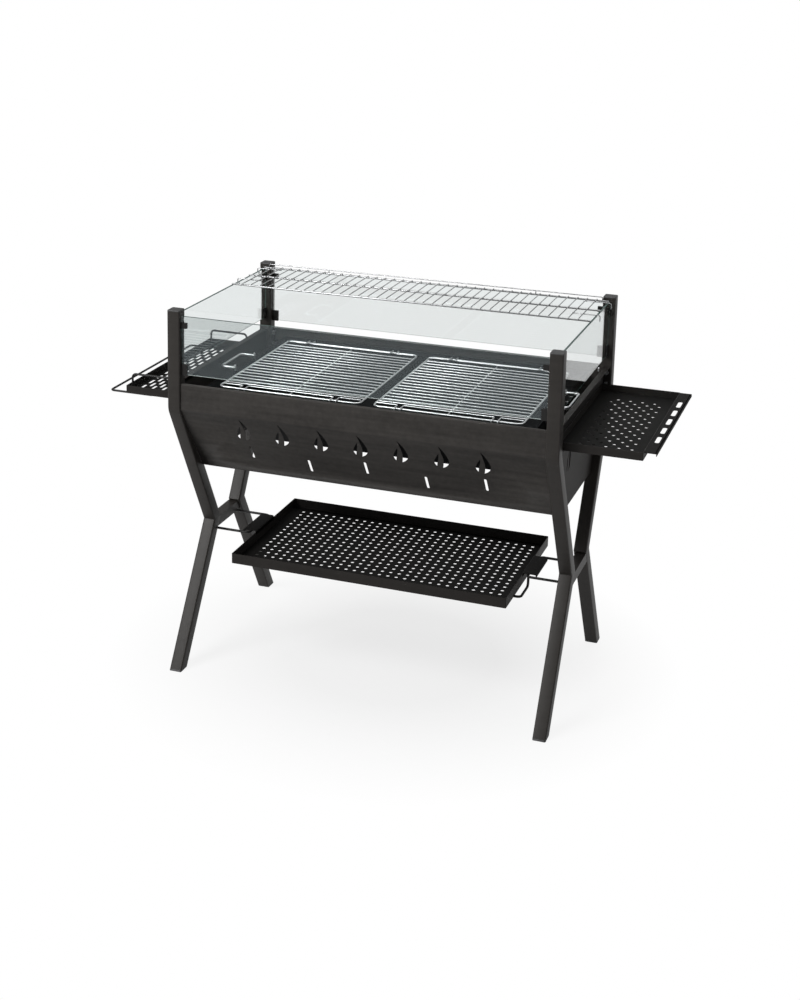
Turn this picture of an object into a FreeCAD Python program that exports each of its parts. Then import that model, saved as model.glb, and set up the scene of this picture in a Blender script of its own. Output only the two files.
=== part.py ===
import FreeCAD, Part
import math
import os

from FreeCAD import Placement, Rotation, Vector

# All sizes are in millimetres. X runs along the grill, -Y is its front and Z is up.
# The stand is drawn about its own middle, and the export moves it so that the origin
# lies on the floor under the middle of the whole outline, side shelves included.

# Stand: bent upper posts, splayed lower legs, crossbars at the waist
STAND_HEIGHT = 870.0
STAND_WIDTH = 900.0
STAND_DEPTH = 555.0
FOOT_FLARE = 7.0
WAIST_DEPTH = 179.2
WAIST_HEIGHT = 310.0
BEND_HEIGHT = 637.0
BEND_RADIUS = 12.0
TUBE = 30.0
TUBE_WALL = 1.5
TUBE_CORNER = 3.0
FIT = 0.3
CAP_LIP = 3.0
CAP_BEVEL = 1.0
CAP_PLUG = 12.0
FOOT_CAP = 4.0
JOINER_REACH = 45.0
CROSSBAR_TALL = 24.0
CROSSBAR_WIDE = 24.0
CROSSBAR_BELOW_WAIST = 4.0
CROSSBAR_INSET = 0.5

# Firebox: folded sheet panels between the posts
SHEET = 1.2
FOLD_RADIUS = 1.5
BOX_RIM = 700.0
BOX_BAND = 60.0
BOX_DROP = 169.0
BOX_SLOPE = 35.0
PANEL_INSET = 4.5
PANEL_LIP = 8.0
PANEL_HEM = 10.0
SIDE_FLANGE = 18.0
END_INSET = 20.0
END_RIM_FLANGE = 14.0
END_WING_MARGIN = 3.0
BOLT_RADIUS = 3.0
BOLT_HEAD_RADIUS = 5.8
BOLT_HEAD_TALL = 4.0
BOLT_GRIP = 8.0
BOLT_DROPS = (12.0, 40.0)

# Vents: flames in a row and upright slots below them, measured down the slope
FLAME_COUNT = 7
FLAME_PITCH = 93.0
FLAME_TOP = 15.0
FLAME_TALL = 76.0
FLAME_WIDE = 32.0
ARC_STEPS = 3
END_FLAME_Y = 93.0
SLOT_COUNT = 5
SLOT_PITCH = 138.0
SLOT_LONG = 43.0
SLOT_WIDE = 6.0
SLOT_HIGH = 128.0
SLOT_LOW = 150.0

# Charcoal pan: a trough hung by its long flanges on two ledges
PAN_BELOW_RIM = 17.7
PAN_END_GAP = 45.0
PAN_SIDE_GAP = 13.0
PAN_DEEP = 179.0
PAN_END_TAPER = 13.0
PAN_FLOOR_HALF_WIDE = 20.0
PAN_FLANGE = 45.0
LEDGE_WIDE = 22.0
LEDGE_TALL = 20.0
LEDGE_SHORT = 5.0
HANDLE_WIRE = 2.5
HANDLE_REACH = 32.0
HANDLE_HALF_WIDE = 57.0
HANDLE_PRONG = 6.0
HANDLE_WALL_GAP = 1.2
HANDLE_BEND = 3.0

# Cooking grates: two welded wire grids side by side
GRATE_END_GAP = 32.0
GRATE_SIDE_GAP = 4.0
GRATE_GAP = 32.0
GRATE_CORNER = 14.0
GRATE_FRAME_WIRE = 2.2
GRATE_WIRE = 1.5
GRATE_WIRES = 17
BEARER_SETBACK = 16.0
BEARER_ENDS = (52.0, 66.0)
BEARER_FOOT = 9.0
BEARER_BEND = 2.5
BEARER_END_INSET = 1.0
GRATE_ABOVE_PAN = 3.7

# Glass screens and the clips that hold their edges
GLASS = 5.0
GLASS_FORWARD = 2.5
GLASS_EDGE_GAP = 1.5
GLASS_CHAMFER = 0.6
LONG_GLASS_ABOVE_RIM = 21.0
LONG_GLASS_BELOW_TOP = 14.0
END_GLASS_ABOVE_RIM = 30.0
END_GLASS_BELOW_TOP = 12.0
CLIP_WALL = 1.2
CLIP_REACH = 14.0
UPPER_CLIP_TALL = 13.0
UPPER_CLIP_DROP = 28.0
LOWER_CLIP_TALL = 26.0

# Warming rack: lies across the two side screens
RACK_BACK_GAP = 7.5
RACK_DEEP = 195.0
RACK_MIDDLE_WIRE = 93.0
RACK_LONG_WIRE = 2.0
RACK_OVERHANG = 1.0
RACK_CROSS_WIRE = 1.5
RACK_CROSS_COUNT = 33
RACK_CROSS_MARGIN = 27.0
RACK_GUARD_RISE = 8.0
RACK_GUARD_BEND = 3.0
RACK_GUARD_PIN_WIRE = 10
RACK_HOOK_WIRES = (18.0, 140.0)
RACK_HOOK_DROP = 14.0
RACK_HOOK_CLEAR = 6.0
RACK_HOOK_INBOARD = 28.0
RACK_HOOK_BEND = 3.5

# Side shelves: folded trays whose tongues drop into straps on the end panels
TRAY_BELOW_RIM = 53.0
TRAY_WALL = 18.0
LEFT_TRAY_LONG = 149.5
LEFT_TRAY_GAP = 20.5
RIGHT_TRAY_LONG = 183.5
RIGHT_TRAY_GAP = 18.5
TONGUE_WIDE = 20.0
TONGUE_DROP = 30.0
TONGUE_Y = 140.0
STRAP_SHORT = 4.0
STRAP_WALL = 1.5
STRAP_FLANGE = 8.0
LEFT_SLOT_LONG = 29.0
LEFT_SLOT_WIDE = 7.0
LEFT_SLOT_PITCH_X = 13.2
LEFT_SLOT_PITCH_Y = 42.0
LEFT_SLOT_COLUMNS = 10
LEFT_SLOT_ROWS = 10
TOOL_LEDGE_REACH = 27.0
TOOL_LEDGE_HEM = 6.0
TOOL_LEDGE_NOTCH = 3.0
TOOL_SLOT_COUNT = 5
TOOL_SLOT_PITCH = 66.5
TOOL_SLOT_LONG = 45.0
TOOL_SLOT_WIDE = 10.0
RAIL_WIRE = 2.5
RAIL_INSET = 14.0
RAIL_END_GAP = 10.0
RAIL_LONG = 101.0
RAIL_RISE = 18.0
LOOP_REACH = 47.0
LOOP_UNDER = 60.0
WIRE_BEND = 9.0

# Wires: flat-sided, with each bend made of short straight steps
WIRE_SIDES = 8
FINE_WIRE_SIDES = 6
FINE_WIRE = 1.8
BEND_STEPS = 2
TIGHT_BEND = 4.0

# Bottom shelf: a tray whose end tabs lie over wire brackets at the waist
BASE_END_GAP = 121.0
BASE_HALF_WIDE = 195.0
BASE_BELOW_CROSSBAR = 27.0
BASE_WALL = 24.0
TAB_HALF_WIDE = 55.0
TAB_REACH = 32.0
TAB_HEM = 8.0
BRACKET_WIRE = 2.5
BRACKET_HALF_WIDE = 62.0
BRACKET_REACH = 13.0
STAY_Y = 50.0
STAY_FRONT = 116.0
STAY_UNDER = 30.0

# Worked out from the sizes above
POST_OUT_X = STAND_WIDTH / 2
POST_IN_X = POST_OUT_X - TUBE
POST_OUT_Y = STAND_DEPTH / 2
POST_IN_Y = POST_OUT_Y - TUBE
POST_LEAN = (POST_OUT_Y - WAIST_DEPTH / 2) / (BEND_HEIGHT - WAIST_HEIGHT)
FOOT_SPREAD = STAND_DEPTH + FOOT_FLARE
LEG_LEAN = (FOOT_SPREAD - WAIST_DEPTH) / 2 / WAIST_HEIGHT
PANEL_HALF_LONG = POST_IN_X - FIT
PANEL_Y = POST_OUT_Y - PANEL_INSET
PANEL_BEND = BOX_RIM - BOX_BAND
SLOPE = math.radians(BOX_SLOPE)
BOX_FOOT_Z = PANEL_BEND - BOX_DROP
BOX_FOOT_Y = PANEL_Y - BOX_DROP * math.tan(SLOPE)
END_X = POST_OUT_X - END_INSET
END_FACE = END_X + SHEET
BOLT_HEIGHTS = [BOX_RIM - drop for drop in BOLT_DROPS]
POST_MID_Y = POST_OUT_Y - TUBE / 2
BOLT_HOLE = BOLT_RADIUS + FIT
PAN_RIM = BOX_RIM - PAN_BELOW_RIM
PAN_HALF_LONG = END_X - PAN_END_GAP
PAN_HALF_WIDE = PANEL_Y - PAN_SIDE_GAP - PAN_FLANGE
PAN_FLOOR_HALF_LONG = PAN_HALF_LONG - PAN_END_TAPER
LEDGE_HALF_LONG = PAN_HALF_LONG - LEDGE_SHORT
GRATE_LONG = PAN_HALF_LONG - GRATE_END_GAP - GRATE_GAP / 2
GRATE_HALF_WIDE = PAN_HALF_WIDE - GRATE_SIDE_GAP
GRATE_Z = PAN_RIM + GRATE_ABOVE_PAN
GLASS_Y = POST_MID_Y + GLASS_FORWARD
GLASS_X = POST_OUT_X - TUBE / 2
LONG_GLASS_BOTTOM = BOX_RIM + LONG_GLASS_ABOVE_RIM
LONG_GLASS_TOP = STAND_HEIGHT - LONG_GLASS_BELOW_TOP
END_GLASS_BOTTOM = BOX_RIM + END_GLASS_ABOVE_RIM
END_GLASS_TOP = STAND_HEIGHT - END_GLASS_BELOW_TOP
RACK_Z = END_GLASS_TOP + FIT + RACK_LONG_WIRE
RACK_BACK = POST_IN_Y - RACK_BACK_GAP
RACK_FRONT = RACK_BACK - RACK_DEEP
RACK_MIDDLE = RACK_BACK - RACK_MIDDLE_WIRE
RACK_CROSS_END = GLASS_X - RACK_CROSS_MARGIN
RACK_CROSS_PITCH = 2 * RACK_CROSS_END / (RACK_CROSS_COUNT - 1)
TRAY_FLOOR = BOX_RIM - TRAY_BELOW_RIM
TRAY_RIM = TRAY_FLOOR + TRAY_WALL
TRAY_START = END_FACE + FIT
LEFT_TRAY_END = TRAY_START + LEFT_TRAY_LONG
LEFT_TRAY_HALF_WIDE = POST_IN_Y - LEFT_TRAY_GAP
RIGHT_TRAY_END = TRAY_START + RIGHT_TRAY_LONG
RIGHT_TRAY_HALF_WIDE = POST_IN_Y - RIGHT_TRAY_GAP
RAIL_Y = LEFT_TRAY_HALF_WIDE - RAIL_INSET
RAIL_OUTER = LEFT_TRAY_END - RAIL_END_GAP
RAIL_INNER = RAIL_OUTER - RAIL_LONG
CROSSBAR_TOP = WAIST_HEIGHT - CROSSBAR_BELOW_WAIST
CROSSBAR_UNDER = CROSSBAR_TOP - CROSSBAR_TALL
BASE_FLOOR = CROSSBAR_UNDER - BASE_BELOW_CROSSBAR
BASE_HALF_LONG = POST_OUT_X - BASE_END_GAP
BRACKET_Z = CROSSBAR_UNDER - BRACKET_WIRE
BRACKET_X = BASE_HALF_LONG + BRACKET_REACH
TAB_Z = CROSSBAR_UNDER + FIT
LEFT_END = LEFT_TRAY_END + LOOP_REACH + RAIL_WIRE
RIGHT_END = RIGHT_TRAY_END + TOOL_LEDGE_REACH
ORIGIN_X = (RIGHT_END - LEFT_END) / 2
THROUGH = 4 * SHEET

OUTWARD_X = Vector(1, 0, 0)
OUTWARD_Y = Vector(0, 1, 0)
UP = Vector(0, 0, 1)
CENTRE = Vector(0, 0, 0)


def write(node, solids):
    """Save solids as one named piece, moved so that the origin is under the outline's middle."""
    placed = [solid.translated(Vector(-ORIGIN_X, 0, 0)) for solid in solids]
    shape = placed[0] if len(placed) == 1 else Part.makeCompound(placed)
    shape.exportStep(os.path.join("parts", node + ".step"))


def box(x, y, z):
    """A block between a low and a high value along each axis."""
    lows = Vector(min(x), min(y), min(z))
    return Part.makeBox(abs(x[1] - x[0]), abs(y[1] - y[0]), abs(z[1] - z[0]), lows)


def side_to_side(solid):
    """The same solid on the other end of the grill."""
    return solid.mirror(CENTRE, OUTWARD_X)


def front_to_back(solid):
    """The same solid on the other long side of the grill."""
    return solid.mirror(CENTRE, OUTWARD_Y)


def turned(solid):
    """The same piece fitted at the opposite end, turned half round."""
    return solid.rotated(CENTRE, UP, 180)


def rounded(points, radii, closed=True):
    """A line through points, with a tangent arc of its own radius at each corner."""
    count = len(points)
    corners = []
    for i, corner in enumerate(points):
        if radii[i] <= 0:
            corners.append((corner, corner, corner))
            continue
        back = points[i - 1] - corner
        back.normalize()
        ahead = points[(i + 1) % count] - corner
        ahead.normalize()
        half_turn = back.getAngle(ahead) / 2
        reach = radii[i] / math.tan(half_turn)
        inward = back + ahead
        inward.normalize()
        middle = corner + inward * (radii[i] / math.sin(half_turn) - radii[i])
        corners.append((corner + back * reach, middle, corner + ahead * reach))
    edges = []
    for i, (start, middle, end) in enumerate(corners):
        following = corners[(i + 1) % count][0]
        if not start.isEqual(end, 1e-7):
            edges.append(Part.Arc(start, middle, end).toShape())
        if (closed or i < count - 1) and not end.isEqual(following, 1e-7):
            edges.append(Part.LineSegment(end, following).toShape())
    return Part.Wire(edges)


def prism(points, radii, along):
    """A solid of one rounded outline drawn out along a vector."""
    return Part.Face(rounded(points, radii)).extrude(along)


def folded(points, axis, thickness, length):
    """A folded sheet. The points are its outer line, and the sheet lies on the left of them."""
    across = []
    for start, end in zip(points, points[1:]):
        run = end - start
        run.normalize()
        across.append(axis.cross(run))
    inner_line = []
    outer_radii = []
    inner_radii = []
    for i, point in enumerate(points):
        before = across[max(i - 1, 0)]
        after = across[min(i, len(across) - 1)]
        mitre = before + after
        mitre.normalize()
        inner_line.append(point + mitre * (thickness / mitre.dot(after)))
        at_end = i in (0, len(points) - 1)
        turns_in = before.cross(after).dot(axis) > 0
        outer_radii.append(0 if at_end else FOLD_RADIUS + (thickness if turns_in else 0))
        inner_radii.append(0 if at_end else FOLD_RADIUS + (0 if turns_in else thickness))
    outline = points + inner_line[::-1]
    return prism(outline, outer_radii + inner_radii[::-1], axis * length)


def flat(corners):
    """A flat face with straight sides."""
    return Part.Face(Part.makePolygon(corners + corners[:1]))


def joined(rings, closed=False):
    """A flat-sided solid through rings of as many corners each, one ring after another."""
    count = len(rings[0])
    pairs = list(zip(rings, rings[1:]))
    if closed:
        pairs.append((rings[-1], rings[0]))
        faces = []
    else:
        faces = [flat(rings[0]), flat(rings[-1])]
    for near, far in pairs:
        for i in range(count):
            j = (i + 1) % count
            faces.append(flat([near[i], near[j], far[j], far[i]]))
    return Part.makeSolid(Part.makeShell(faces))


def wire_section(radius):
    """The corners across a wire, whose flats lie one radius from its middle."""
    sides = FINE_WIRE_SIDES if radius < FINE_WIRE else WIRE_SIDES
    reach = radius / math.cos(math.pi / sides)
    angles = [(i + 0.5) * 2 * math.pi / sides for i in range(sides)]
    return [Vector(math.cos(angle), math.sin(angle), 0) * reach for angle in angles]


def tube_section(inset):
    """The corners across the stand's square tube with bevelled edges, drawn in by an inset."""
    half = TUBE / 2 - inset
    short = half - (TUBE_CORNER - inset / 2)
    corners = []
    for x, y in ((1, 1), (-1, 1), (-1, -1), (1, -1)):
        pair = [Vector(x * half, y * short, 0), Vector(x * short, y * half, 0)]
        corners += pair if x * y > 0 else pair[::-1]
    return corners


def bent_line(points, bend, closed=False):
    """A line through points, with each corner turned in short straight steps round an arc."""
    count = len(points)
    steps = 1 if bend < TIGHT_BEND else BEND_STEPS
    line = []
    for i, corner in enumerate(points):
        if not closed and i in (0, count - 1):
            line.append(corner)
            continue
        back = points[i - 1] - corner
        back.normalize()
        ahead = points[(i + 1) % count] - corner
        ahead.normalize()
        half_angle = back.getAngle(ahead) / 2
        inward = back + ahead
        inward.normalize()
        middle = corner + inward * (bend / math.sin(half_angle))
        first = corner + back * (bend / math.tan(half_angle)) - middle
        last = corner + ahead * (bend / math.tan(half_angle)) - middle
        turn = math.degrees(first.getAngle(last))
        for step in range(steps + 1):
            spoke = Rotation(first.cross(last), turn * step / steps).multVec(first)
            line.append(middle + spoke)
    return line


def swept(points, section, bend=WIRE_BEND, closed=False):
    """A section carried along a bent line and mitred at each of the line's points."""
    line = bent_line(points, bend, closed)
    count = len(line)
    run = line[1] - line[0]
    turn = Rotation(UP, run)
    ring = [line[0] + turn.multVec(corner) for corner in section]
    rings = []
    for i, point in enumerate(line):
        before = point - line[i - 1] if closed or i > 0 else Vector(run)
        after = line[(i + 1) % count] - point if closed or i < count - 1 else Vector(before)
        along = run if i == 0 else Vector(before)
        mitre = before.normalize() + after.normalize()
        ring = [corner + along * ((point - corner).dot(mitre) / along.dot(mitre)) for corner in ring]
        rings.append(ring)
    return joined(rings, closed)


def rod(start, end, radius):
    """A straight wire."""
    return swept([start, end], wire_section(radius))


def bent_wire(points, radius, bend=WIRE_BEND, closed=False):
    """A wire that follows the points with a bend at each corner."""
    return swept(points, wire_section(radius), bend, closed)


def upright(points, x):
    """Vectors in the plane across the grill, from pairs of Y and Z."""
    return [Vector(x, y, z) for y, z in points]


def post_y(inset, height):
    """Y of the leaning part of a post, at a depth into the tube from its outer face."""
    slant = math.hypot(1, POST_LEAN)
    return POST_OUT_Y - (BEND_HEIGHT - height) * POST_LEAN - inset * slant


def post_bend(inset):
    """Height at which the post's upright and leaning lines meet, at a depth into the tube."""
    slant = math.hypot(1, POST_LEAN)
    return BEND_HEIGHT + inset * (slant - 1) / POST_LEAN


def leg_y(inset, height):
    """Y of the lower leg, at a depth into the tube from its outer face."""
    slant = math.hypot(1, LEG_LEAN)
    return WAIST_DEPTH / 2 + (WAIST_HEIGHT - height) * LEG_LEAN - inset * slant


def below_to_above(low, high):
    """A block that keeps the stretch of a tube between two heights."""
    reach = STAND_WIDTH
    return box((-reach, reach), (-reach, reach), (low, high))


def post_core(inset, top, bottom):
    """The post's tube, or its bore, as a solid drawn in by an inset."""
    mid = TUBE / 2
    start = bottom - TUBE
    points = upright([
        (post_y(mid, start), start),
        (POST_OUT_Y - mid, post_bend(mid)),
        (POST_OUT_Y - mid, top),
    ], POST_IN_X + mid)
    core = swept(points, tube_section(inset), BEND_RADIUS + mid)
    return core.common(below_to_above(bottom, top))


def leaning_core(side, inset, top, bottom):
    """A straight leaning tube, or its bore. The side gives the tube's Y at a depth and height."""
    mid = TUBE / 2
    ends = [(side(mid, height), height) for height in (bottom - TUBE, top + TUBE)]
    core = swept(upright(ends, POST_IN_X + mid), tube_section(inset))
    return core.common(below_to_above(bottom, top))


def hole_along(axis, centre, radius, length):
    """A cutter for a bolt's hole, centred on a point."""
    reach = axis * (length / 2)
    return rod(centre - reach, centre + reach, radius)


def bolt_seats():
    """Where the two bolt rows of one corner enter the post: a point and an outward axis."""
    seats = []
    for height in BOLT_HEIGHTS:
        seats.append((Vector(POST_IN_X, POST_MID_Y, height), OUTWARD_X))
        seats.append((Vector(END_X + SHEET + BOLT_HEAD_RADIUS + 1, POST_IN_Y, height), OUTWARD_Y))
    return seats


def make_post():
    """The back right post; the other three are its mirror images."""
    top = STAND_HEIGHT - CAP_LIP
    tube = post_core(0, top, WAIST_HEIGHT)
    tube = tube.cut(post_core(TUBE_WALL, top + 1, WAIST_HEIGHT - 1))
    for point, axis in bolt_seats():
        tube = tube.cut(hole_along(axis, point, BOLT_HOLE, TUBE))
    return tube


def make_leg():
    """The back right lower leg."""
    tube = leaning_core(leg_y, 0, WAIST_HEIGHT, FOOT_CAP)
    return tube.cut(leaning_core(leg_y, TUBE_WALL, WAIST_HEIGHT + 1, FOOT_CAP - 1))


def make_joiner():
    """The bar inside the tubes that joins a post to its leg at the waist."""
    inset = TUBE_WALL + FIT
    upper = leaning_core(post_y, inset, WAIST_HEIGHT + JOINER_REACH, WAIST_HEIGHT)
    lower = leaning_core(leg_y, inset, WAIST_HEIGHT, WAIST_HEIGHT - JOINER_REACH)
    return upper.fuse(lower)


def make_post_cap():
    """The plastic cap that plugs a post's top end."""
    seam = STAND_HEIGHT - CAP_LIP
    rings = []
    for height, inset in ((seam, 0), (STAND_HEIGHT - CAP_BEVEL, 0), (STAND_HEIGHT, CAP_BEVEL)):
        middle = Vector(POST_IN_X + TUBE / 2, POST_MID_Y, height)
        rings.append([middle + corner for corner in tube_section(inset)])
    lip = joined(rings)
    core = tube_section(TUBE_WALL + FIT)
    root = Vector(POST_IN_X + TUBE / 2, POST_MID_Y, seam)
    return lip.fuse(swept([root - UP * CAP_PLUG, root], core))


def make_foot_cap():
    """The plastic foot that plugs a leg's lower end."""
    plug = leaning_core(leg_y, TUBE_WALL + FIT, FOOT_CAP + CAP_PLUG, FOOT_CAP)
    return leaning_core(leg_y, 0, FOOT_CAP, 0).fuse(plug)


def make_crossbar():
    """The right-hand tube that ties the front and back legs together under the waist."""
    outer = POST_OUT_X - CROSSBAR_INSET
    ends = [(height, leg_y(TUBE, height)) for height in (CROSSBAR_UNDER, CROSSBAR_TOP)]
    (low, low_y), (high, high_y) = ends
    outline = [(-low_y, low), (low_y, low), (high_y, high), (-high_y, high)]
    bar = prism(upright(outline, outer - CROSSBAR_WIDE), [0] * 4, OUTWARD_X * CROSSBAR_WIDE)
    bore = box(
        (outer - CROSSBAR_WIDE + TUBE_WALL, outer - TUBE_WALL),
        (-FOOT_SPREAD, FOOT_SPREAD),
        (CROSSBAR_UNDER + TUBE_WALL, CROSSBAR_TOP - TUBE_WALL),
    )
    return bar.cut(bore)


def through_cutter(arcs, depth):
    """A cutter through a sheet on X and Y. Each arc of its outline is cut in straight steps."""
    corners = []
    for arc in arcs:
        for point in arc.toShape().discretize(Number=ARC_STEPS + 1):
            if not corners or not point.isEqual(corners[-1], 1e-6):
                corners.append(point)
    if corners[0].isEqual(corners[-1], 1e-6):
        corners.pop()
    return flat(corners).extrude(UP * (2 * depth)).translated(UP * -depth)


def crescent(points, depth):
    """A cutter with two curved sides that meet at a pointed tip and foot."""
    tip, outer_top, bulge, outer_foot, foot, inner_foot, hollow, inner_top = points
    arcs = [
        Part.Arc(tip, outer_top, bulge),
        Part.Arc(bulge, outer_foot, foot),
        Part.Arc(foot, inner_foot, hollow),
        Part.Arc(hollow, inner_top, tip),
    ]
    return through_cutter(arcs, depth)


def flame_cutters(depth):
    """The two licks of one flame, with Y pointing up the sheet and zero at the flame's top line."""

    def at(across, down):
        return Vector(across * FLAME_WIDE, -down * FLAME_TALL, 0)

    long_lick = [
        at(0.06, 0), at(0.31, 0.30), at(0.485, 0.605), at(0.39, 0.84),
        at(0, 1), at(0.26, 0.80), at(0.32, 0.62), at(0.21, 0.34),
    ]
    short_lick = [
        at(-0.09, 0.43), at(-0.41, 0.53), at(-0.515, 0.685), at(-0.49, 0.80),
        at(-0.375, 0.88), at(-0.38, 0.775), at(-0.35, 0.67), at(-0.275, 0.55),
    ]
    return [crescent(long_lick, depth), crescent(short_lick, depth)]


def slot_cutter(length, width, depth):
    """A slot with round ends, upright on Y and centred."""
    half = width / 2
    straight = length / 2 - half
    arcs = [
        Part.Arc(Vector(half, straight, 0), Vector(0, length / 2, 0), Vector(-half, straight, 0)),
        Part.Arc(Vector(-half, -straight, 0), Vector(0, -length / 2, 0), Vector(half, -straight, 0)),
    ]
    return through_cutter(arcs, depth)


def make_front_panel():
    """The long front panel: lip, upright band, slope with its vents, and bottom hem."""
    line = upright([
        (-PANEL_Y + PANEL_LIP, BOX_RIM),
        (-PANEL_Y, BOX_RIM),
        (-PANEL_Y, PANEL_BEND),
        (-BOX_FOOT_Y, BOX_FOOT_Z),
        (-BOX_FOOT_Y + PANEL_HEM, BOX_FOOT_Z),
    ], -PANEL_HALF_LONG)
    panel = folded(line, OUTWARD_X, SHEET, 2 * PANEL_HALF_LONG)
    flange = box(
        (PANEL_HALF_LONG - SHEET, PANEL_HALF_LONG),
        (-PANEL_Y + SHEET / 2, -PANEL_Y + SIDE_FLANGE),
        (PANEL_BEND + FOLD_RADIUS, BOX_RIM - SHEET - FOLD_RADIUS),
    )
    for height in BOLT_HEIGHTS:
        centre = Vector(PANEL_HALF_LONG, -POST_MID_Y, height)
        flange = flange.cut(hole_along(OUTWARD_X, centre, BOLT_HOLE, THROUGH))
    panel = panel.fuse([flange, side_to_side(flange)])
    slope = Placement(Vector(0, -PANEL_Y, PANEL_BEND), Rotation(OUTWARD_X, 90 + BOX_SLOPE))
    cutters = []
    for i in range(FLAME_COUNT):
        x = (i - (FLAME_COUNT - 1) / 2) * FLAME_PITCH
        cutters += [lick.translated(Vector(x, -FLAME_TOP, 0)) for lick in flame_cutters(THROUGH)]
    for i in range(SLOT_COUNT):
        x = (i - (SLOT_COUNT - 1) / 2) * SLOT_PITCH
        drop = SLOT_HIGH if i % 2 == 0 else SLOT_LOW
        slot = slot_cutter(SLOT_LONG, SLOT_WIDE, THROUGH)
        cutters.append(slot.translated(Vector(x, -drop, 0)))
    return panel.cut([cutter.transformed(slope.toMatrix()) for cutter in cutters]).removeSplitter()


def make_end_panel():
    """The right end panel: it follows the posts' inner faces, with an outward rim flange."""
    edge_y = POST_IN_Y - FIT

    def post_side(height):
        return post_y(TUBE, height) - FIT

    outline = [
        (-edge_y, BOX_RIM), (edge_y, BOX_RIM), (edge_y, post_bend(TUBE)),
        (post_side(BOX_FOOT_Z), BOX_FOOT_Z), (-post_side(BOX_FOOT_Z), BOX_FOOT_Z),
        (-edge_y, post_bend(TUBE)),
    ]
    bend = BEND_RADIUS - FIT
    panel = prism(upright(outline, END_X), [0, 0, bend, 0, 0, bend], OUTWARD_X * SHEET)
    rim = box((END_X, END_X + END_RIM_FLANGE), (-edge_y, edge_y), (BOX_RIM - SHEET, BOX_RIM))
    wing = box(
        (END_X, POST_OUT_X - END_WING_MARGIN),
        (edge_y - SHEET, edge_y),
        (post_bend(TUBE) + BEND_RADIUS, BOX_RIM),
    )
    for point, axis in bolt_seats():
        if axis is OUTWARD_Y:
            wing = wing.cut(hole_along(axis, point, BOLT_HOLE, THROUGH))
    panel = panel.fuse([rim, wing, front_to_back(wing)])
    upright_sheet = Rotation(OUTWARD_Y, UP, OUTWARD_X, "ZXY")
    for y in (-END_FLAME_Y, END_FLAME_Y):
        place = Placement(Vector(END_X, y, PANEL_BEND - FLAME_TOP), upright_sheet)
        for lick in flame_cutters(THROUGH):
            panel = panel.cut(lick.transformed(place.toMatrix()))
    return panel.removeSplitter()


def make_bolt(point, axis):
    """A hexagon bolt whose head bears on the sheet and whose shank goes into the post."""
    inward = Vector(axis) * -1
    seat = point + inward * (FIT + SHEET)
    turn = Rotation(UP, inward)
    corners = []
    for i in range(6):
        angle = i * math.pi / 3
        radial = Vector(math.cos(angle), math.sin(angle), 0) * BOLT_HEAD_RADIUS
        corners.append(seat + turn.multVec(radial))
    head = flat(corners).extrude(inward * BOLT_HEAD_TALL)
    shank = rod(seat, seat - inward * BOLT_GRIP, BOLT_RADIUS * math.cos(math.pi / WIRE_SIDES))
    return head.fuse(shank)


def four_corners(solid):
    """One solid repeated at the four corners, in the order of the corner names."""
    left = side_to_side(solid)
    return [front_to_back(left), front_to_back(solid), left, solid]


def make_ledge():
    """The back angle that carries the pan's flange."""
    wall = PANEL_Y - SHEET
    top = PAN_RIM - SHEET - FIT
    line = upright([
        (wall - LEDGE_WIDE, top),
        (wall, top),
        (wall, top - LEDGE_TALL),
    ], LEDGE_HALF_LONG)
    return folded(line, OUTWARD_X * -1, SHEET, 2 * LEDGE_HALF_LONG)


def trough(growth_x, growth_y):
    """A flat-sided block that tapers from the pan's rim to its narrow floor, grown by a margin."""
    rings = []
    for half_x, half_y, height in (
        (PAN_FLOOR_HALF_LONG, PAN_FLOOR_HALF_WIDE, PAN_RIM - PAN_DEEP),
        (PAN_HALF_LONG, PAN_HALF_WIDE, PAN_RIM),
    ):
        x = half_x + growth_x
        y = half_y + growth_y
        signs = ((-1, -1), (1, -1), (1, 1), (-1, 1))
        rings.append([Vector(sx * x, sy * y, height) for sx, sy in signs])
    return joined(rings)


def make_pan():
    """The charcoal pan: a V trough of sheet with a wide flange along each long side."""
    wall_slope = math.atan((PAN_HALF_WIDE - PAN_FLOOR_HALF_WIDE) / PAN_DEEP)
    growth_y = SHEET / math.cos(wall_slope)
    inner = trough(0, 0)
    outer = trough(SHEET, growth_y)
    floor_z = PAN_RIM - PAN_DEEP
    floor = box(
        (-PAN_FLOOR_HALF_LONG - SHEET, PAN_FLOOR_HALF_LONG + SHEET),
        (-PAN_FLOOR_HALF_WIDE - growth_y, PAN_FLOOR_HALF_WIDE + growth_y),
        (floor_z - SHEET, floor_z),
    )
    flange = box(
        (-PAN_HALF_LONG, PAN_HALF_LONG),
        (PAN_HALF_WIDE + growth_y / 2, PAN_HALF_WIDE + PAN_FLANGE),
        (PAN_RIM - SHEET, PAN_RIM),
    )
    pan = outer.fuse([floor, flange, front_to_back(flange)])
    return pan.cut(inner).removeSplitter()


def make_pan_handle():
    """The right wire handle: a bar beyond the pan's end, hung on its end wall by two prongs."""
    height = PAN_RIM + HANDLE_WIRE
    bar_x = PAN_HALF_LONG + HANDLE_REACH
    inside = PAN_HALF_LONG - HANDLE_WIRE - HANDLE_WALL_GAP
    points = [
        Vector(inside, -HANDLE_HALF_WIDE, height - HANDLE_PRONG - HANDLE_WIRE),
        Vector(inside, -HANDLE_HALF_WIDE, height),
        Vector(bar_x, -HANDLE_HALF_WIDE, height),
        Vector(bar_x, HANDLE_HALF_WIDE, height),
        Vector(inside, HANDLE_HALF_WIDE, height),
        Vector(inside, HANDLE_HALF_WIDE, height - HANDLE_PRONG - HANDLE_WIRE),
    ]
    return bent_wire(points, HANDLE_WIRE, bend=HANDLE_BEND)


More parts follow.
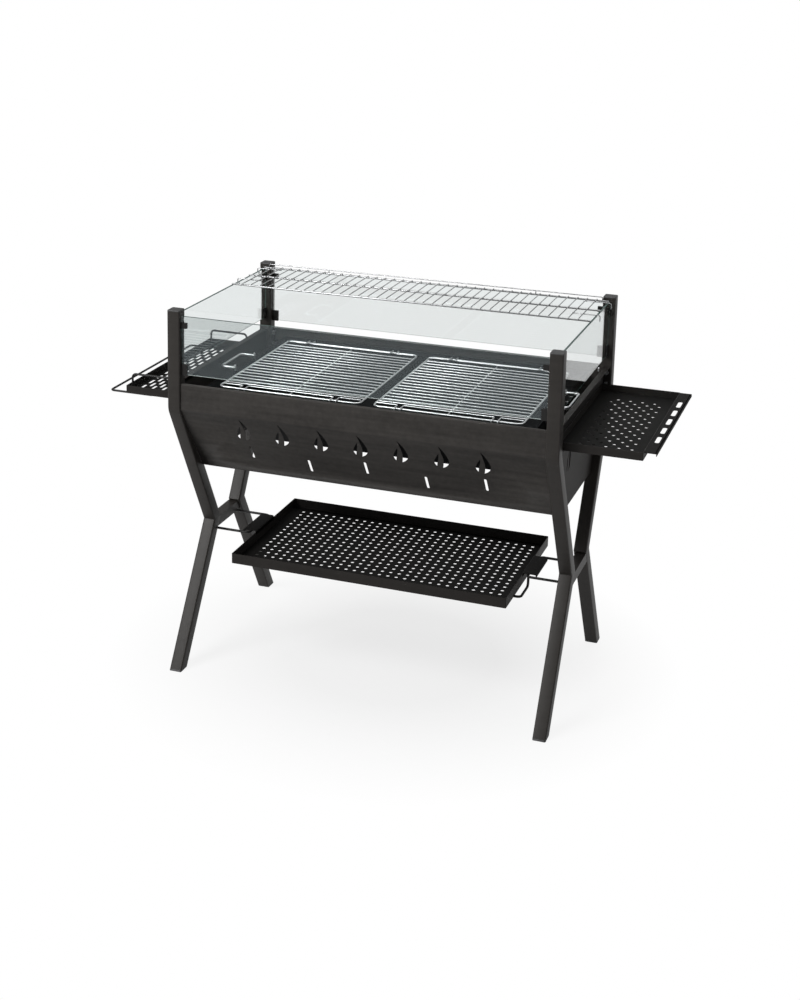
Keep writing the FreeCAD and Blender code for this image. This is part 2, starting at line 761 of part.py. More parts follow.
def make_grate_frame(low_x):
    """The heavier wire round one cooking grate."""
    high_x = low_x + GRATE_LONG
    y = GRATE_HALF_WIDE
    corners = [Vector(low_x, -y, GRATE_Z), Vector(high_x, -y, GRATE_Z)]
    corners += [Vector(high_x, y, GRATE_Z), Vector(low_x, y, GRATE_Z)]
    return bent_wire(corners, GRATE_FRAME_WIRE, GRATE_CORNER, closed=True)


def make_grate_wires(low_x):
    """The wires between the two ends of a grate's frame, and the centre wire under them."""
    inner_low = low_x + GRATE_FRAME_WIRE
    inner_high = low_x + GRATE_LONG - GRATE_FRAME_WIRE
    level = GRATE_Z + GRATE_FRAME_WIRE - GRATE_WIRE
    span = GRATE_HALF_WIDE - BEARER_SETBACK
    pieces = []
    for i in range(GRATE_WIRES):
        y = -span + (i + 1) * 2 * span / (GRATE_WIRES + 1)
        pieces.append(rod(Vector(inner_low, y, level), Vector(inner_high, y, level), GRATE_WIRE))
    under = level - 2 * GRATE_WIRE
    end_y = GRATE_HALF_WIDE - GRATE_FRAME_WIRE
    middle_x = low_x + GRATE_LONG / 2
    start = Vector(middle_x, -end_y, under)
    pieces.append(rod(start, Vector(middle_x, end_y, under), GRATE_WIRE))
    return pieces


def make_bearers(low_x):
    """The wires along a grate's long sides whose bent ends stand on the pan's flange."""
    high_x = low_x + GRATE_LONG
    near, far = BEARER_ENDS
    level = GRATE_Z + GRATE_FRAME_WIRE + GRATE_WIRE
    back = GRATE_HALF_WIDE - BEARER_SETBACK
    foot_y = GRATE_HALF_WIDE + BEARER_FOOT
    foot_z = PAN_RIM + FIT
    start_x = low_x + BEARER_END_INSET
    end_x = high_x - BEARER_END_INSET

    def leg(x):
        return [Vector(x, -back, level), Vector(x, -foot_y, level), Vector(x, -foot_y, foot_z)]

    left = [Vector(start_x, -back, level)] + leg(low_x + near)
    centre = leg(low_x + far)[::-1] + leg(high_x - far)
    right = leg(high_x - near)[::-1] + [Vector(end_x, -back, level)]
    front = [bent_wire(points, GRATE_WIRE, BEARER_BEND) for points in (left, centre, right)]
    return front + [front_to_back(wire) for wire in front]


def make_glass(half_long, bottom, top):
    """A glass screen standing on edge along X, centred on the origin's plane."""
    pane = box((-half_long, half_long), (-GLASS / 2, GLASS / 2), (bottom, top))
    return pane.makeChamfer(GLASS_CHAMFER, [edge for edge in pane.Edges if edge.Length > GLASS + 1])


def clip(height, with_floor):
    """A channel that grips a glass edge. Its base lies on the plane X = 0 and faces +X."""
    half = GLASS / 2 + FIT
    outer = box((0, CLIP_REACH), (-half - CLIP_WALL, half + CLIP_WALL), (0, height))
    lowest = CLIP_WALL if with_floor else -1
    groove = box((CLIP_WALL, CLIP_REACH + 1), (-half, half), (lowest, height + 1))
    return outer.cut(groove)


def clip_seats():
    """The eight glass edges: a point on the post's face, the clip's turn, and the pane's ends."""
    seats = []
    for x_sign in (-1, 1):
        for y_sign in (-1, 1):
            long_seat = Vector(x_sign * POST_IN_X, y_sign * GLASS_Y, 0)
            seats.append((long_seat, 180 if x_sign > 0 else 0, LONG_GLASS_BOTTOM, LONG_GLASS_TOP))
            end_seat = Vector(x_sign * GLASS_X, y_sign * POST_IN_Y, 0)
            seats.append((end_seat, -90 * y_sign, END_GLASS_BOTTOM, END_GLASS_TOP))
    return seats


def place_clip(solid, seat, turn, height):
    """A clip turned about the vertical and set on its post."""
    return solid.rotated(CENTRE, UP, turn).translated(seat + UP * height)


def make_rack():
    """The warming rack's straight wires: long wires, guard wire and the cross wires on top."""
    half = GLASS_X + RACK_OVERHANG
    pieces = []
    for y in (RACK_FRONT, RACK_MIDDLE, RACK_BACK):
        pieces.append(rod(Vector(-half, y, RACK_Z), Vector(half, y, RACK_Z), RACK_LONG_WIRE))
    level = RACK_Z + RACK_LONG_WIRE + RACK_CROSS_WIRE
    for i in range(RACK_CROSS_COUNT):
        x = i * RACK_CROSS_PITCH - RACK_CROSS_END
        start = Vector(x, RACK_FRONT - RACK_LONG_WIRE, level)
        pieces.append(rod(start, Vector(x, RACK_BACK + RACK_LONG_WIRE, level), RACK_CROSS_WIRE))
    return pieces


def make_rack_guard():
    """The raised wire behind the rack, bent down to the back wire at each end."""
    half = RACK_CROSS_END + RACK_CROSS_PITCH / 2
    low = RACK_Z + RACK_LONG_WIRE
    high = RACK_Z + RACK_LONG_WIRE + 2 * RACK_CROSS_WIRE + RACK_GUARD_RISE
    points = [Vector(-half, RACK_BACK, low), Vector(-half, RACK_BACK, high)]
    points += [Vector(half, RACK_BACK, high), Vector(half, RACK_BACK, low)]
    pieces = [bent_wire(points, RACK_CROSS_WIRE, RACK_GUARD_BEND)]
    pin_x = (RACK_GUARD_PIN_WIRE + 0.25) * RACK_CROSS_PITCH
    for x in (-pin_x, pin_x):
        foot = Vector(x, RACK_BACK, low)
        pieces.append(rod(foot, Vector(foot.x, RACK_BACK, high - RACK_CROSS_WIRE), RACK_CROSS_WIRE))
    return pieces


def make_rack_hooks():
    """Short wires under the cross wires that reach over the side screens and down outside."""
    outside = GLASS_X + GLASS / 2 + RACK_HOOK_CLEAR + RACK_CROSS_WIRE
    inboard = RACK_CROSS_END - RACK_HOOK_INBOARD
    level = RACK_Z + RACK_LONG_WIRE - RACK_CROSS_WIRE
    hooks = []
    for setback in RACK_HOOK_WIRES:
        y = RACK_BACK - setback
        points = [Vector(inboard, y, level), Vector(outside, y, level)]
        points.append(Vector(outside, y, level - RACK_HOOK_DROP))
        hooks.append(bent_wire(points, RACK_CROSS_WIRE, RACK_HOOK_BEND))
    return hooks + [side_to_side(hook) for hook in hooks]


def ring(x, y, z, wall):
    """Four upright walls round a rectangle."""
    inner = box((x[0] + wall, x[1] - wall), (y[0] + wall, y[1] - wall), (z[0] - 1, z[1] + 1))
    return box(x, y, z).cut(inner)


def tray_floor(x, half_wide, height):
    """The sheet inside a tray's walls."""
    return box(
        (x[0] + SHEET, x[1] - SHEET),
        (-half_wide + SHEET, half_wide - SHEET),
        (height, height + SHEET),
    )


def shelf_rim(end, half_wide):
    """A side shelf's walls, with the two tongues that drop into the straps."""
    walls = ring((TRAY_START, end), (-half_wide, half_wide), (TRAY_FLOOR, TRAY_RIM), SHEET)
    for y in (-TONGUE_Y, TONGUE_Y):
        tongue = box(
            (TRAY_START, TRAY_START + SHEET),
            (y - TONGUE_WIDE / 2, y + TONGUE_WIDE / 2),
            (TRAY_FLOOR - TONGUE_DROP, TRAY_FLOOR + SHEET),
        )
        walls = walls.fuse(tongue)
    return walls.removeSplitter()


def make_left_floor():
    """The left shelf's floor, with staggered columns of slots across it."""
    sheet = tray_floor((TRAY_START, LEFT_TRAY_END), LEFT_TRAY_HALF_WIDE, TRAY_FLOOR)
    middle = (TRAY_START + LEFT_TRAY_END) / 2
    cutters = []
    for column in range(LEFT_SLOT_COLUMNS):
        x = middle + (column - (LEFT_SLOT_COLUMNS - 1) / 2) * LEFT_SLOT_PITCH_X
        rows = LEFT_SLOT_ROWS - column % 2
        for row in range(rows):
            y = (row - (rows - 1) / 2) * LEFT_SLOT_PITCH_Y
            cutters.append(box(
                (x - LEFT_SLOT_WIDE / 2, x + LEFT_SLOT_WIDE / 2),
                (y - LEFT_SLOT_LONG / 2, y + LEFT_SLOT_LONG / 2),
                (TRAY_FLOOR - 1, TRAY_FLOOR + SHEET + 1),
            ))
    return side_to_side(sheet.cut(cutters))


def make_tool_ledge():
    """The flange beyond the right shelf's end wall, with slots for hanging tools."""
    y = RIGHT_TRAY_HALF_WIDE - TOOL_LEDGE_NOTCH
    flange = box((RIGHT_TRAY_END, RIGHT_END), (-y, y), (TRAY_RIM - SHEET, TRAY_RIM))
    hem = box((RIGHT_END - SHEET, RIGHT_END), (-y, y), (TRAY_RIM - TOOL_LEDGE_HEM, TRAY_RIM))
    ledge = flange.fuse(hem)
    middle_x = RIGHT_TRAY_END + TOOL_LEDGE_REACH / 2
    for i in range(TOOL_SLOT_COUNT):
        slot_y = (i - (TOOL_SLOT_COUNT - 1) / 2) * TOOL_SLOT_PITCH
        slot = slot_cutter(TOOL_SLOT_LONG, TOOL_SLOT_WIDE, THROUGH)
        ledge = ledge.cut(slot.translated(Vector(middle_x, slot_y, TRAY_RIM)))
    return ledge.removeSplitter()


def make_strap(y):
    """The strap on the right end panel that a shelf's tongue drops into."""
    half = TONGUE_WIDE / 2 + FIT
    gap = SHEET + 2 * FIT
    line = [
        Vector(END_FACE, y - half - STRAP_WALL - STRAP_FLANGE, 0),
        Vector(END_FACE, y - half - STRAP_WALL, 0),
        Vector(END_FACE + gap, y - half - STRAP_WALL, 0),
        Vector(END_FACE + gap, y + half + STRAP_WALL, 0),
        Vector(END_FACE, y + half + STRAP_WALL, 0),
        Vector(END_FACE, y + half + STRAP_WALL + STRAP_FLANGE, 0),
    ]
    outer = [point + OUTWARD_X * STRAP_WALL for point in line]
    outer[1] = outer[1] - OUTWARD_Y * STRAP_WALL
    outer[2] = outer[2] - OUTWARD_Y * STRAP_WALL
    outer[3] = outer[3] + OUTWARD_Y * STRAP_WALL
    outer[4] = outer[4] + OUTWARD_Y * STRAP_WALL
    low = TRAY_FLOOR - TONGUE_DROP + STRAP_SHORT
    high = TRAY_FLOOR - STRAP_SHORT
    outline = [point + UP * low for point in line + outer[::-1]]
    return prism(outline, [0] * len(outline), UP * (high - low))


def make_rail():
    """The back wire rail of the left shelf, bent down into the tray at both ends."""
    low = TRAY_FLOOR + SHEET + FIT
    high = TRAY_RIM + RAIL_RISE
    points = [
        Vector(-RAIL_OUTER, RAIL_Y, low), Vector(-RAIL_OUTER, RAIL_Y, high),
        Vector(-RAIL_INNER, RAIL_Y, high), Vector(-RAIL_INNER, RAIL_Y, low),
    ]
    return bent_wire(points, RAIL_WIRE)


def make_loop():
    """The wire loop beyond the left shelf, whose arms run under the tray."""
    height = TRAY_FLOOR - FIT - RAIL_WIRE
    outer = -(LEFT_TRAY_END + LOOP_REACH)
    inner = -(LEFT_TRAY_END - LOOP_UNDER)
    points = [
        Vector(inner, -RAIL_Y, height), Vector(outer, -RAIL_Y, height),
        Vector(outer, RAIL_Y, height), Vector(inner, RAIL_Y, height),
    ]
    return bent_wire(points, RAIL_WIRE)


def make_base_rim():
    """The bottom shelf's walls, with the tab at each end that lies over the wire bracket."""
    x = (-BASE_HALF_LONG, BASE_HALF_LONG)
    y = (-BASE_HALF_WIDE, BASE_HALF_WIDE)
    walls = ring(x, y, (BASE_FLOOR, BASE_FLOOR + BASE_WALL), SHEET)
    line = [
        Vector(BASE_HALF_LONG + TAB_REACH, -TAB_HALF_WIDE, TAB_Z + SHEET - TAB_HEM),
        Vector(BASE_HALF_LONG + TAB_REACH, -TAB_HALF_WIDE, TAB_Z + SHEET),
        Vector(BASE_HALF_LONG - SHEET, -TAB_HALF_WIDE, TAB_Z + SHEET),
        Vector(BASE_HALF_LONG - SHEET, -TAB_HALF_WIDE, BASE_FLOOR + BASE_WALL - SHEET),
    ]
    tab = folded(line[::-1], OUTWARD_Y, SHEET, 2 * TAB_HALF_WIDE)
    return walls.fuse([tab, side_to_side(tab)]).removeSplitter()


def make_base_bracket():
    """The right wire bracket under the crossbar, and the stay that runs on under the tray."""
    root = POST_OUT_X - CROSSBAR_INSET - TUBE_WALL
    y = BRACKET_HALF_WIDE
    points = [
        Vector(root, -y, BRACKET_Z), Vector(BRACKET_X, -y, BRACKET_Z),
        Vector(BRACKET_X, y, BRACKET_Z), Vector(root, y, BRACKET_Z),
    ]
    return bent_wire(points, BRACKET_WIRE)


def make_base_stay():
    """The stay that hangs from the right bracket, runs forward and turns in under the tray."""
    under = BASE_FLOOR - FIT - BRACKET_WIRE
    hung = BRACKET_Z - BRACKET_WIRE
    points = [
        Vector(BRACKET_X, -STAY_Y, hung),
        Vector(BRACKET_X, -STAY_Y, under),
        Vector(BRACKET_X, -STAY_FRONT, under),
        Vector(BASE_HALF_LONG - STAY_UNDER, -STAY_FRONT, under),
    ]
    return bent_wire(points, BRACKET_WIRE)


def write_stand():
    """The posts, legs, caps, joiners and crossbars."""
    corners = ("front_left", "front_right", "back_left", "back_right")
    for kind, solid in (("post", make_post()), ("leg", make_leg())):
        for corner, copy in zip(corners, four_corners(solid)):
            write(kind + "_" + corner, [copy])
    write("leg_joiners", four_corners(make_joiner()))
    write("post_caps", four_corners(make_post_cap()))
    write("foot_caps", four_corners(make_foot_cap()))
    crossbar = make_crossbar()
    write("crossbar_left", [side_to_side(crossbar)])
    write("crossbar_right", [crossbar])


def write_firebox():
    """The four panels, their bolts, the pan ledges and the shelf straps."""
    front = make_front_panel()
    write("firebox_front_panel", [front])
    write("firebox_back_panel", [turned(front)])
    end = make_end_panel()
    write("firebox_left_panel", [side_to_side(end)])
    write("firebox_right_panel", [end])
    bolts = []
    for point, axis in bolt_seats():
        bolts += four_corners(make_bolt(point, axis))
    write("panel_bolts", bolts)
    ledge = make_ledge()
    write("pan_ledge_front", [front_to_back(ledge)])
    write("pan_ledge_back", [ledge])
    straps = [make_strap(y) for y in (-TONGUE_Y, TONGUE_Y)]
    write("shelf_straps_left", [side_to_side(strap) for strap in straps])
    write("shelf_straps_right", straps)


def write_pan_and_grates():
    """The pan with its handles, and the two grates that stand on it."""
    write("charcoal_pan", [make_pan()])
    handle = make_pan_handle()
    write("pan_handle_left", [side_to_side(handle)])
    write("pan_handle_right", [handle])
    left_low = -GRATE_GAP / 2 - GRATE_LONG
    for side, low_x in (("left", left_low), ("right", GRATE_GAP / 2)):
        write("grate_frame_" + side, [make_grate_frame(low_x)])
        write("grate_wires_" + side, make_grate_wires(low_x))
        write("grate_bearers_" + side, make_bearers(low_x))


def write_screens():
    """The four glass screens, their clips and the warming rack."""
    long_pane = make_glass(POST_IN_X - GLASS_EDGE_GAP, LONG_GLASS_BOTTOM, LONG_GLASS_TOP)
    write("glass_front", [long_pane.translated(OUTWARD_Y * -GLASS_Y)])
    write("glass_back", [long_pane.translated(OUTWARD_Y * GLASS_Y)])
    end_pane = make_glass(POST_IN_Y - GLASS_EDGE_GAP, END_GLASS_BOTTOM, END_GLASS_TOP)
    end_pane = end_pane.rotated(CENTRE, UP, 90).translated(OUTWARD_X * GLASS_X)
    write("glass_left", [side_to_side(end_pane)])
    write("glass_right", [end_pane])
    upper = []
    lower = []
    for seat, turn, bottom, top in clip_seats():
        upper.append(place_clip(clip(UPPER_CLIP_TALL, False), seat, turn, top - UPPER_CLIP_DROP))
        floor = bottom - FIT - CLIP_WALL
        lower.append(place_clip(clip(LOWER_CLIP_TALL, True), seat, turn, floor))
    write("glass_clips_upper", upper)
    write("glass_clips_lower", lower)
    write("warming_rack", make_rack())
    write("warming_rack_guard", make_rack_guard())
    write("warming_rack_hooks", make_rack_hooks())


def write_side_shelves():
    """The two lift-off side shelves with their wire parts."""
    write("left_shelf_floor", [make_left_floor()])
    write("left_shelf_rim", [side_to_side(shelf_rim(LEFT_TRAY_END, LEFT_TRAY_HALF_WIDE))])
    rail = make_rail()
    write("left_shelf_rail_front", [front_to_back(rail)])
    write("left_shelf_rail_back", [rail])
    write("left_shelf_loop", [make_loop()])
    right_floor = tray_floor((TRAY_START, RIGHT_TRAY_END), RIGHT_TRAY_HALF_WIDE, TRAY_FLOOR)
    write("right_shelf_floor", [right_floor])
    write("right_shelf_rim", [shelf_rim(RIGHT_TRAY_END, RIGHT_TRAY_HALF_WIDE)])
    write("right_shelf_tool_ledge", [make_tool_ledge()])


def write_bottom_shelf():
    """The bottom shelf and the wire brackets that it lies on."""
    floor = tray_floor((-BASE_HALF_LONG, BASE_HALF_LONG), BASE_HALF_WIDE, BASE_FLOOR)
    write("bottom_shelf_floor", [floor])
    write("bottom_shelf_rim", [make_base_rim()])
    bracket = make_base_bracket()
    write("bottom_bracket_left", [side_to_side(bracket)])
    write("bottom_bracket_right", [bracket])
    stay = make_base_stay()
    write("bottom_stay_left", [turned(stay)])
    write("bottom_stay_right", [stay])


os.makedirs("parts", exist_ok=True)
write_stand()
write_firebox()
write_pan_and_grates()
write_screens()
write_side_shelves()
write_bottom_shelf()
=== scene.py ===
"""Looks of a free-standing charcoal grill with glass screens, wire grates and lift-off shelves."""
import logging
import math
from dataclasses import dataclass, replace
from enum import Enum
from functools import cache
from typing import Iterable, Mapping, Sequence

import bmesh
import bpy
from mathutils import Matrix, Vector


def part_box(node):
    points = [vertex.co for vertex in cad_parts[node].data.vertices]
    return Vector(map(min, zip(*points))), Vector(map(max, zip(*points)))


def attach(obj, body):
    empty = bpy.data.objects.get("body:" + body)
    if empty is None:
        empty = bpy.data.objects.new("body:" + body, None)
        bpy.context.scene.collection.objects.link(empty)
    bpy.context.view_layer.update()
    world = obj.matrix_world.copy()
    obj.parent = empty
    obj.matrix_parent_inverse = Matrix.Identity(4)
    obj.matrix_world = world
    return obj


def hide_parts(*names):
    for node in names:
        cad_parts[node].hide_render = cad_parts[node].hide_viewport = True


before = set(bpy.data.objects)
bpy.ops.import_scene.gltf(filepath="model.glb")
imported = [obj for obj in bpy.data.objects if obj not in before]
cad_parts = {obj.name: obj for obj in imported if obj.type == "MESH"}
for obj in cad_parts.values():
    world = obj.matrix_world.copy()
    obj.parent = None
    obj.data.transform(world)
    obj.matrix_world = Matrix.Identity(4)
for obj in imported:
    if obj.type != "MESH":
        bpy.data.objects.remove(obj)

log = logging.getLogger("grill")

Point2 = tuple[float, float]
Point3 = Vector | tuple[float, float, float]
Colour = tuple[float, float, float]
Outline = list[Point2]

# Shapes are in millimetres about the middle of the stand, and materials are in metres.
MM = 0.001
SHEET = 1.2
UP = Vector((0, 0, 1))
ALONG_X = Vector((1, 0, 0))
ALONG_Y = Vector((0, 1, 0))
SAME = Matrix.Identity(4)
FLIP_X = Matrix.Diagonal((-1, 1, 1, 1))
FLIP_Y = Matrix.Diagonal((1, -1, 1, 1))
TURNED = Matrix.Diagonal((-1, -1, 1, 1))
STAND_MIDDLE = (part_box("crossbar_left")[0].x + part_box("crossbar_right")[1].x) / 2

WIRE_SIDES = 12
SWEEP_STEPS = 7
FOLD_STEPS = 5
CORNER_STEPS = 4
ARC_STEPS = 8
STRAIGHT = 1e-3
# A wire's rounded end: its depth as a share of the radius, and the shares of that depth and
# of the radius at its tip and on the way.
END_DEPTH = 0.6
END_RINGS = ((0.0, 0.5), (0.35, 0.86))
SMOOTH_BELOW = math.radians(38)
BEVEL_ABOVE = math.radians(40)


class Body(Enum):
    """The bodies that pieces ride on."""

    STAND = "stand"
    PAN = "pan"
    LEFT_GRATE = "left_grate"
    RIGHT_GRATE = "right_grate"
    RACK = "rack"
    LEFT_SHELF = "left_shelf"
    RIGHT_SHELF = "right_shelf"
    BOTTOM_SHELF = "bottom_shelf"


class Slot(Enum):
    """The material slots that finishes belong to."""

    COAT = "black_coat"
    WIRE = "black_wire"
    PAN = "pan_enamel"
    CHROME = "chrome_wire"
    GLASS = "glass"
    CAP = "cap_plastic"
    ZINC = "zinc_steel"


# Shader nodes


class Signal:
    """A number that varies over a surface: the output socket of a shader node."""

    def __init__(self, tree: bpy.types.NodeTree, socket: bpy.types.NodeSocket) -> None:
        """Wrap one output socket of a node tree."""
        self.tree = tree
        self.socket = socket

    def _math(self, operation: str, first: "Operand", second: "Operand") -> "Signal":
        """Add a Math node.

        Args:
            operation: The node's operation.
            first: Its first operand.
            second: Its second operand.

        Returns:
            The node's output.
        """
        node = self.tree.nodes.new("ShaderNodeMath")
        node.operation = operation
        for socket, operand in zip(node.inputs, (first, second)):
            if isinstance(operand, Signal):
                self.tree.links.new(operand.socket, socket)
            else:
                socket.default_value = operand
        return Signal(self.tree, node.outputs[0])

    def __add__(self, other: "Operand") -> "Signal":
        """This plus another."""
        return self._math("ADD", self, other)

    def __radd__(self, other: "Operand") -> "Signal":
        """Another plus this."""
        return self._math("ADD", other, self)

    def __sub__(self, other: "Operand") -> "Signal":
        """This minus another."""
        return self._math("SUBTRACT", self, other)

    def __rsub__(self, other: "Operand") -> "Signal":
        """Another minus this."""
        return self._math("SUBTRACT", other, self)

    def __mul__(self, other: "Operand") -> "Signal":
        """This times another."""
        return self._math("MULTIPLY", self, other)

    def __rmul__(self, other: "Operand") -> "Signal":
        """Another times this."""
        return self._math("MULTIPLY", other, self)

    def __abs__(self) -> "Signal":
        """This without its sign."""
        return self._math("ABSOLUTE", self, 0.0)

    def at_least(self, other: "Operand") -> "Signal":
        """The larger of this and another."""
        return self._math("MAXIMUM", self, other)

    def clamped(self) -> "Signal":
        """This, held between 0 and 1."""
        return self._math("MINIMUM", self.at_least(0.0), 1.0)


Operand = Signal | float


class Shader:
    """The node tree of one material or world."""

    def __init__(self, owner: bpy.types.Material | bpy.types.World) -> None:
        """Empty a node tree and keep it.

        Args:
            owner: The material or world that has it.
        """
        owner.use_nodes = True
        self.owner = owner
        self.tree = owner.node_tree
        self.tree.nodes.clear()

    def node(
        self,
        kind: str,
        settings: Mapping[str, object],
        inputs: Mapping[str | int, object],
    ) -> bpy.types.Node:
        """Add one node.

        Args:
            kind: The node's type.
            settings: Its properties, set first.
            inputs: A value, a Signal or a socket for each of its sockets, by name or number.

        Returns:
            The new node.
        """
        made = self.tree.nodes.new(kind)
        for key, value in settings.items():
            setattr(made, key, value)
        for key, value in inputs.items():
            socket = made.inputs[key]
            if isinstance(value, Signal):
                self.tree.links.new(value.socket, socket)
            elif isinstance(value, bpy.types.NodeSocket):
                self.tree.links.new(value, socket)
            else:
                socket.default_value = value
        return made

    def signal(self, socket: bpy.types.NodeSocket) -> Signal:
        """A socket as a Signal."""
        return Signal(self.tree, socket)

    def place(self, stretch: Point3 = (1.0, 1.0, 1.0)) -> bpy.types.NodeSocket:
        """The point on the object, in metres, with each axis scaled by a stretch."""
        inputs = {0: self.node("ShaderNodeTexCoord", {}, {}).outputs["Object"], 1: stretch}
        return self.node("ShaderNodeVectorMath", {"operation": "MULTIPLY"}, inputs).outputs[0]

    def noise(self, place: bpy.types.NodeSocket, scale: float, detail: float) -> Signal:
        """Soft noise from 0 to 1, with its cells in a metre and its finer octaves."""
        inputs = {"Vector": place, "Scale": scale, "Detail": detail}
        return self.signal(self.node("ShaderNodeTexNoise", {}, inputs).outputs[0])

    def blend(self, factor: Signal, low: Colour, high: Colour) -> bpy.types.NodeSocket:
        """A colour that goes from low to high with the factor."""
        inputs = {0: factor, 6: (*low, 1.0), 7: (*high, 1.0)}
        return self.node("ShaderNodeMix", {"data_type": "RGBA"}, inputs).outputs[2]

    def bump(self, height: Signal, depth: float) -> bpy.types.NodeSocket:
        """A normal that rises and falls with the height, by a depth in metres."""
        return self.node("ShaderNodeBump", {}, {"Height": height, "Distance": depth}).outputs[0]

    def principled(self, inputs: Mapping[str, object]) -> bpy.types.NodeSocket:
        """The output of one Principled shader."""
        return self.node("ShaderNodeBsdfPrincipled", {}, inputs).outputs[0]

    def mix(
        self,
        share: Signal | bpy.types.NodeSocket,
        first: bpy.types.NodeSocket,
        second: bpy.types.NodeSocket,
    ) -> bpy.types.NodeSocket:
        """A surface that goes from the first to the second with a share."""
        return self.node("ShaderNodeMixShader", {}, {0: share, 1: first, 2: second}).outputs[0]

    def finish(self, surface: bpy.types.NodeSocket) -> bpy.types.Material | bpy.types.World:
        """Send a surface to the output and return the owner."""
        self.node(f"ShaderNodeOutput{type(self.owner).__name__}", {}, {"Surface": surface})
        return self.owner


# Finishes


@dataclass(frozen=True)
class Finish:
    """A finish of the grill: its darkest and lightest colours and how rough it is."""

    name: str
    low: Colour
    high: Colour
    roughness: float
    slot: Slot = Slot.COAT

    def surface(self, shader: Shader) -> bpy.types.NodeSocket:
        """The finish's surface, which each kind of finish makes in its own way."""
        raise NotImplementedError

    @cache
    def material(self) -> bpy.types.Material:
        """The finish's material, made when it is first asked for."""
        shader = Shader(bpy.data.materials.new(self.name))
        return shader.finish(self.surface(shader))


@dataclass(frozen=True)
class PowderCoat(Finish):
    """Baked powder paint: near black, satin, with a fine pebbled skin and faint streaks."""

    spread: float = 0.10
    pebble: float = 1400.0
    depth: float = 0.00003
    streaks: float = 0.25
    streak_stretch: Point3 = (1.6, 9.0, 26.0)
    contrast: float = 2.2
    specular: float = 0.25

    def surface(self, shader: Shader) -> bpy.types.NodeSocket:
        """Make the surface.

        Args:
            shader: The material's shader.

        Returns:
            The surface's socket.
        """
        place = shader.place()
        mottle = shader.noise(place, scale=7.0, detail=5.0)
        fine = shader.noise(place, scale=90.0, detail=4.0)
        wiped = shader.noise(shader.place(self.streak_stretch), scale=3.0, detail=6.0)
        shade = mottle * (0.7 - self.streaks) + fine * 0.3 + wiped * self.streaks
        skin = shader.noise(place, self.pebble, detail=2.0)
        rough = self.roughness + (mottle - 0.5) * self.spread + (skin - 0.5) * self.spread
        return shader.principled({
            "Base Color": shader.blend(
                ((shade - 0.5) * self.contrast + 0.5).clamped(), self.low, self.high
            ),
            "Roughness": rough,
            "Normal": shader.bump(skin + fine * 0.35, self.depth),
            "Specular IOR Level": self.specular,
        })


@dataclass(frozen=True)
class PlatedWire(Finish):
    """Bright plated wire: a smooth mirror with drawing lines and duller patches."""

    depth: float = 0.00001

    def surface(self, shader: Shader) -> bpy.types.NodeSocket:
        """Make the surface.

        Args:
            shader: The material's shader.

        Returns:
            The surface's socket.
        """
        place = shader.place()
        patches = shader.noise(place, scale=22.0, detail=4.0)
        grain = shader.noise(place, scale=900.0, detail=2.0)
        return shader.principled({
            "Base Color": shader.blend(patches, self.low, self.high),
            "Metallic": 1.0,
            "Roughness": self.roughness + patches * 0.14 + grain * 0.05,
            "Normal": shader.bump(grain, self.depth),
        })


@dataclass(frozen=True)
class Moulded(Finish):
    """Black moulded plastic with a fine spark-eroded grain."""

    depth: float = 0.00004
    scuff_stretch: Point3 = (3.0, 3.0, 1.0)

    def surface(self, shader: Shader) -> bpy.types.NodeSocket:
        """Make the surface.

        Args:
            shader: The material's shader.

        Returns:
            The surface's socket.
        """
        grain = shader.noise(shader.place(), scale=2400.0, detail=2.0)
        scuffs = shader.noise(shader.place(self.scuff_stretch), scale=60.0, detail=5.0)
        return shader.principled({
            "Base Color": shader.blend(scuffs, self.low, self.high),
            "Roughness": self.roughness + (grain - 0.5) * 0.2,
            "Normal": shader.bump(grain, self.depth),
        })


@dataclass(frozen=True)
class Glass(Finish):
    """Clear toughened glass: nearly colourless through its faces and green along its edges."""

    thin_axis: int = 0
    index: float = 1.46
    mirrored: Colour = (0.84, 0.95, 1.0)
    edge_low: Colour = (0.012, 0.035, 0.03)
    edge_high: Colour = (0.03, 0.07, 0.06)
    edge_roughness: float = 0.3
    edge_depth: float = 0.00002

    def surface(self, shader: Shader) -> bpy.types.NodeSocket:
        """Make the surface, which is simply clear to shadow rays.

        Args:
            shader: The material's shader.

        Returns:
            The surface's socket.
        """
        normal = shader.node("ShaderNodeNewGeometry", {}, {}).outputs["True Normal"]
        split = shader.node("ShaderNodeSeparateXYZ", {}, {0: normal}).outputs
        facing = abs(shader.signal(split[self.thin_axis]))
        haze = shader.noise(shader.place(), scale=6.0, detail=5.0)
        grain = shader.noise(shader.place(), scale=900.0, detail=2.0)
        pane = shader.principled({
            "Base Color": shader.blend(haze, self.low, self.high),
            "Roughness": self.roughness,
            "Transmission Weight": 1.0,
            "IOR": self.index,
            "Specular Tint": (*self.mirrored, 1.0),
        })
        ground = shader.principled({
            "Base Color": shader.blend(grain, self.edge_low, self.edge_high),
            "Roughness": self.edge_roughness + grain * 0.2,
            "Normal": shader.bump(grain, self.edge_depth),
        })
        clear = shader.node("ShaderNodeBsdfTransparent", {}, {0: (*self.low, 1.0)}).outputs[0]
        shadow = shader.node("ShaderNodeLightPath", {}, {}).outputs["Is Shadow Ray"]
        return shader.mix(shadow, shader.mix(facing, ground, pane), clear)


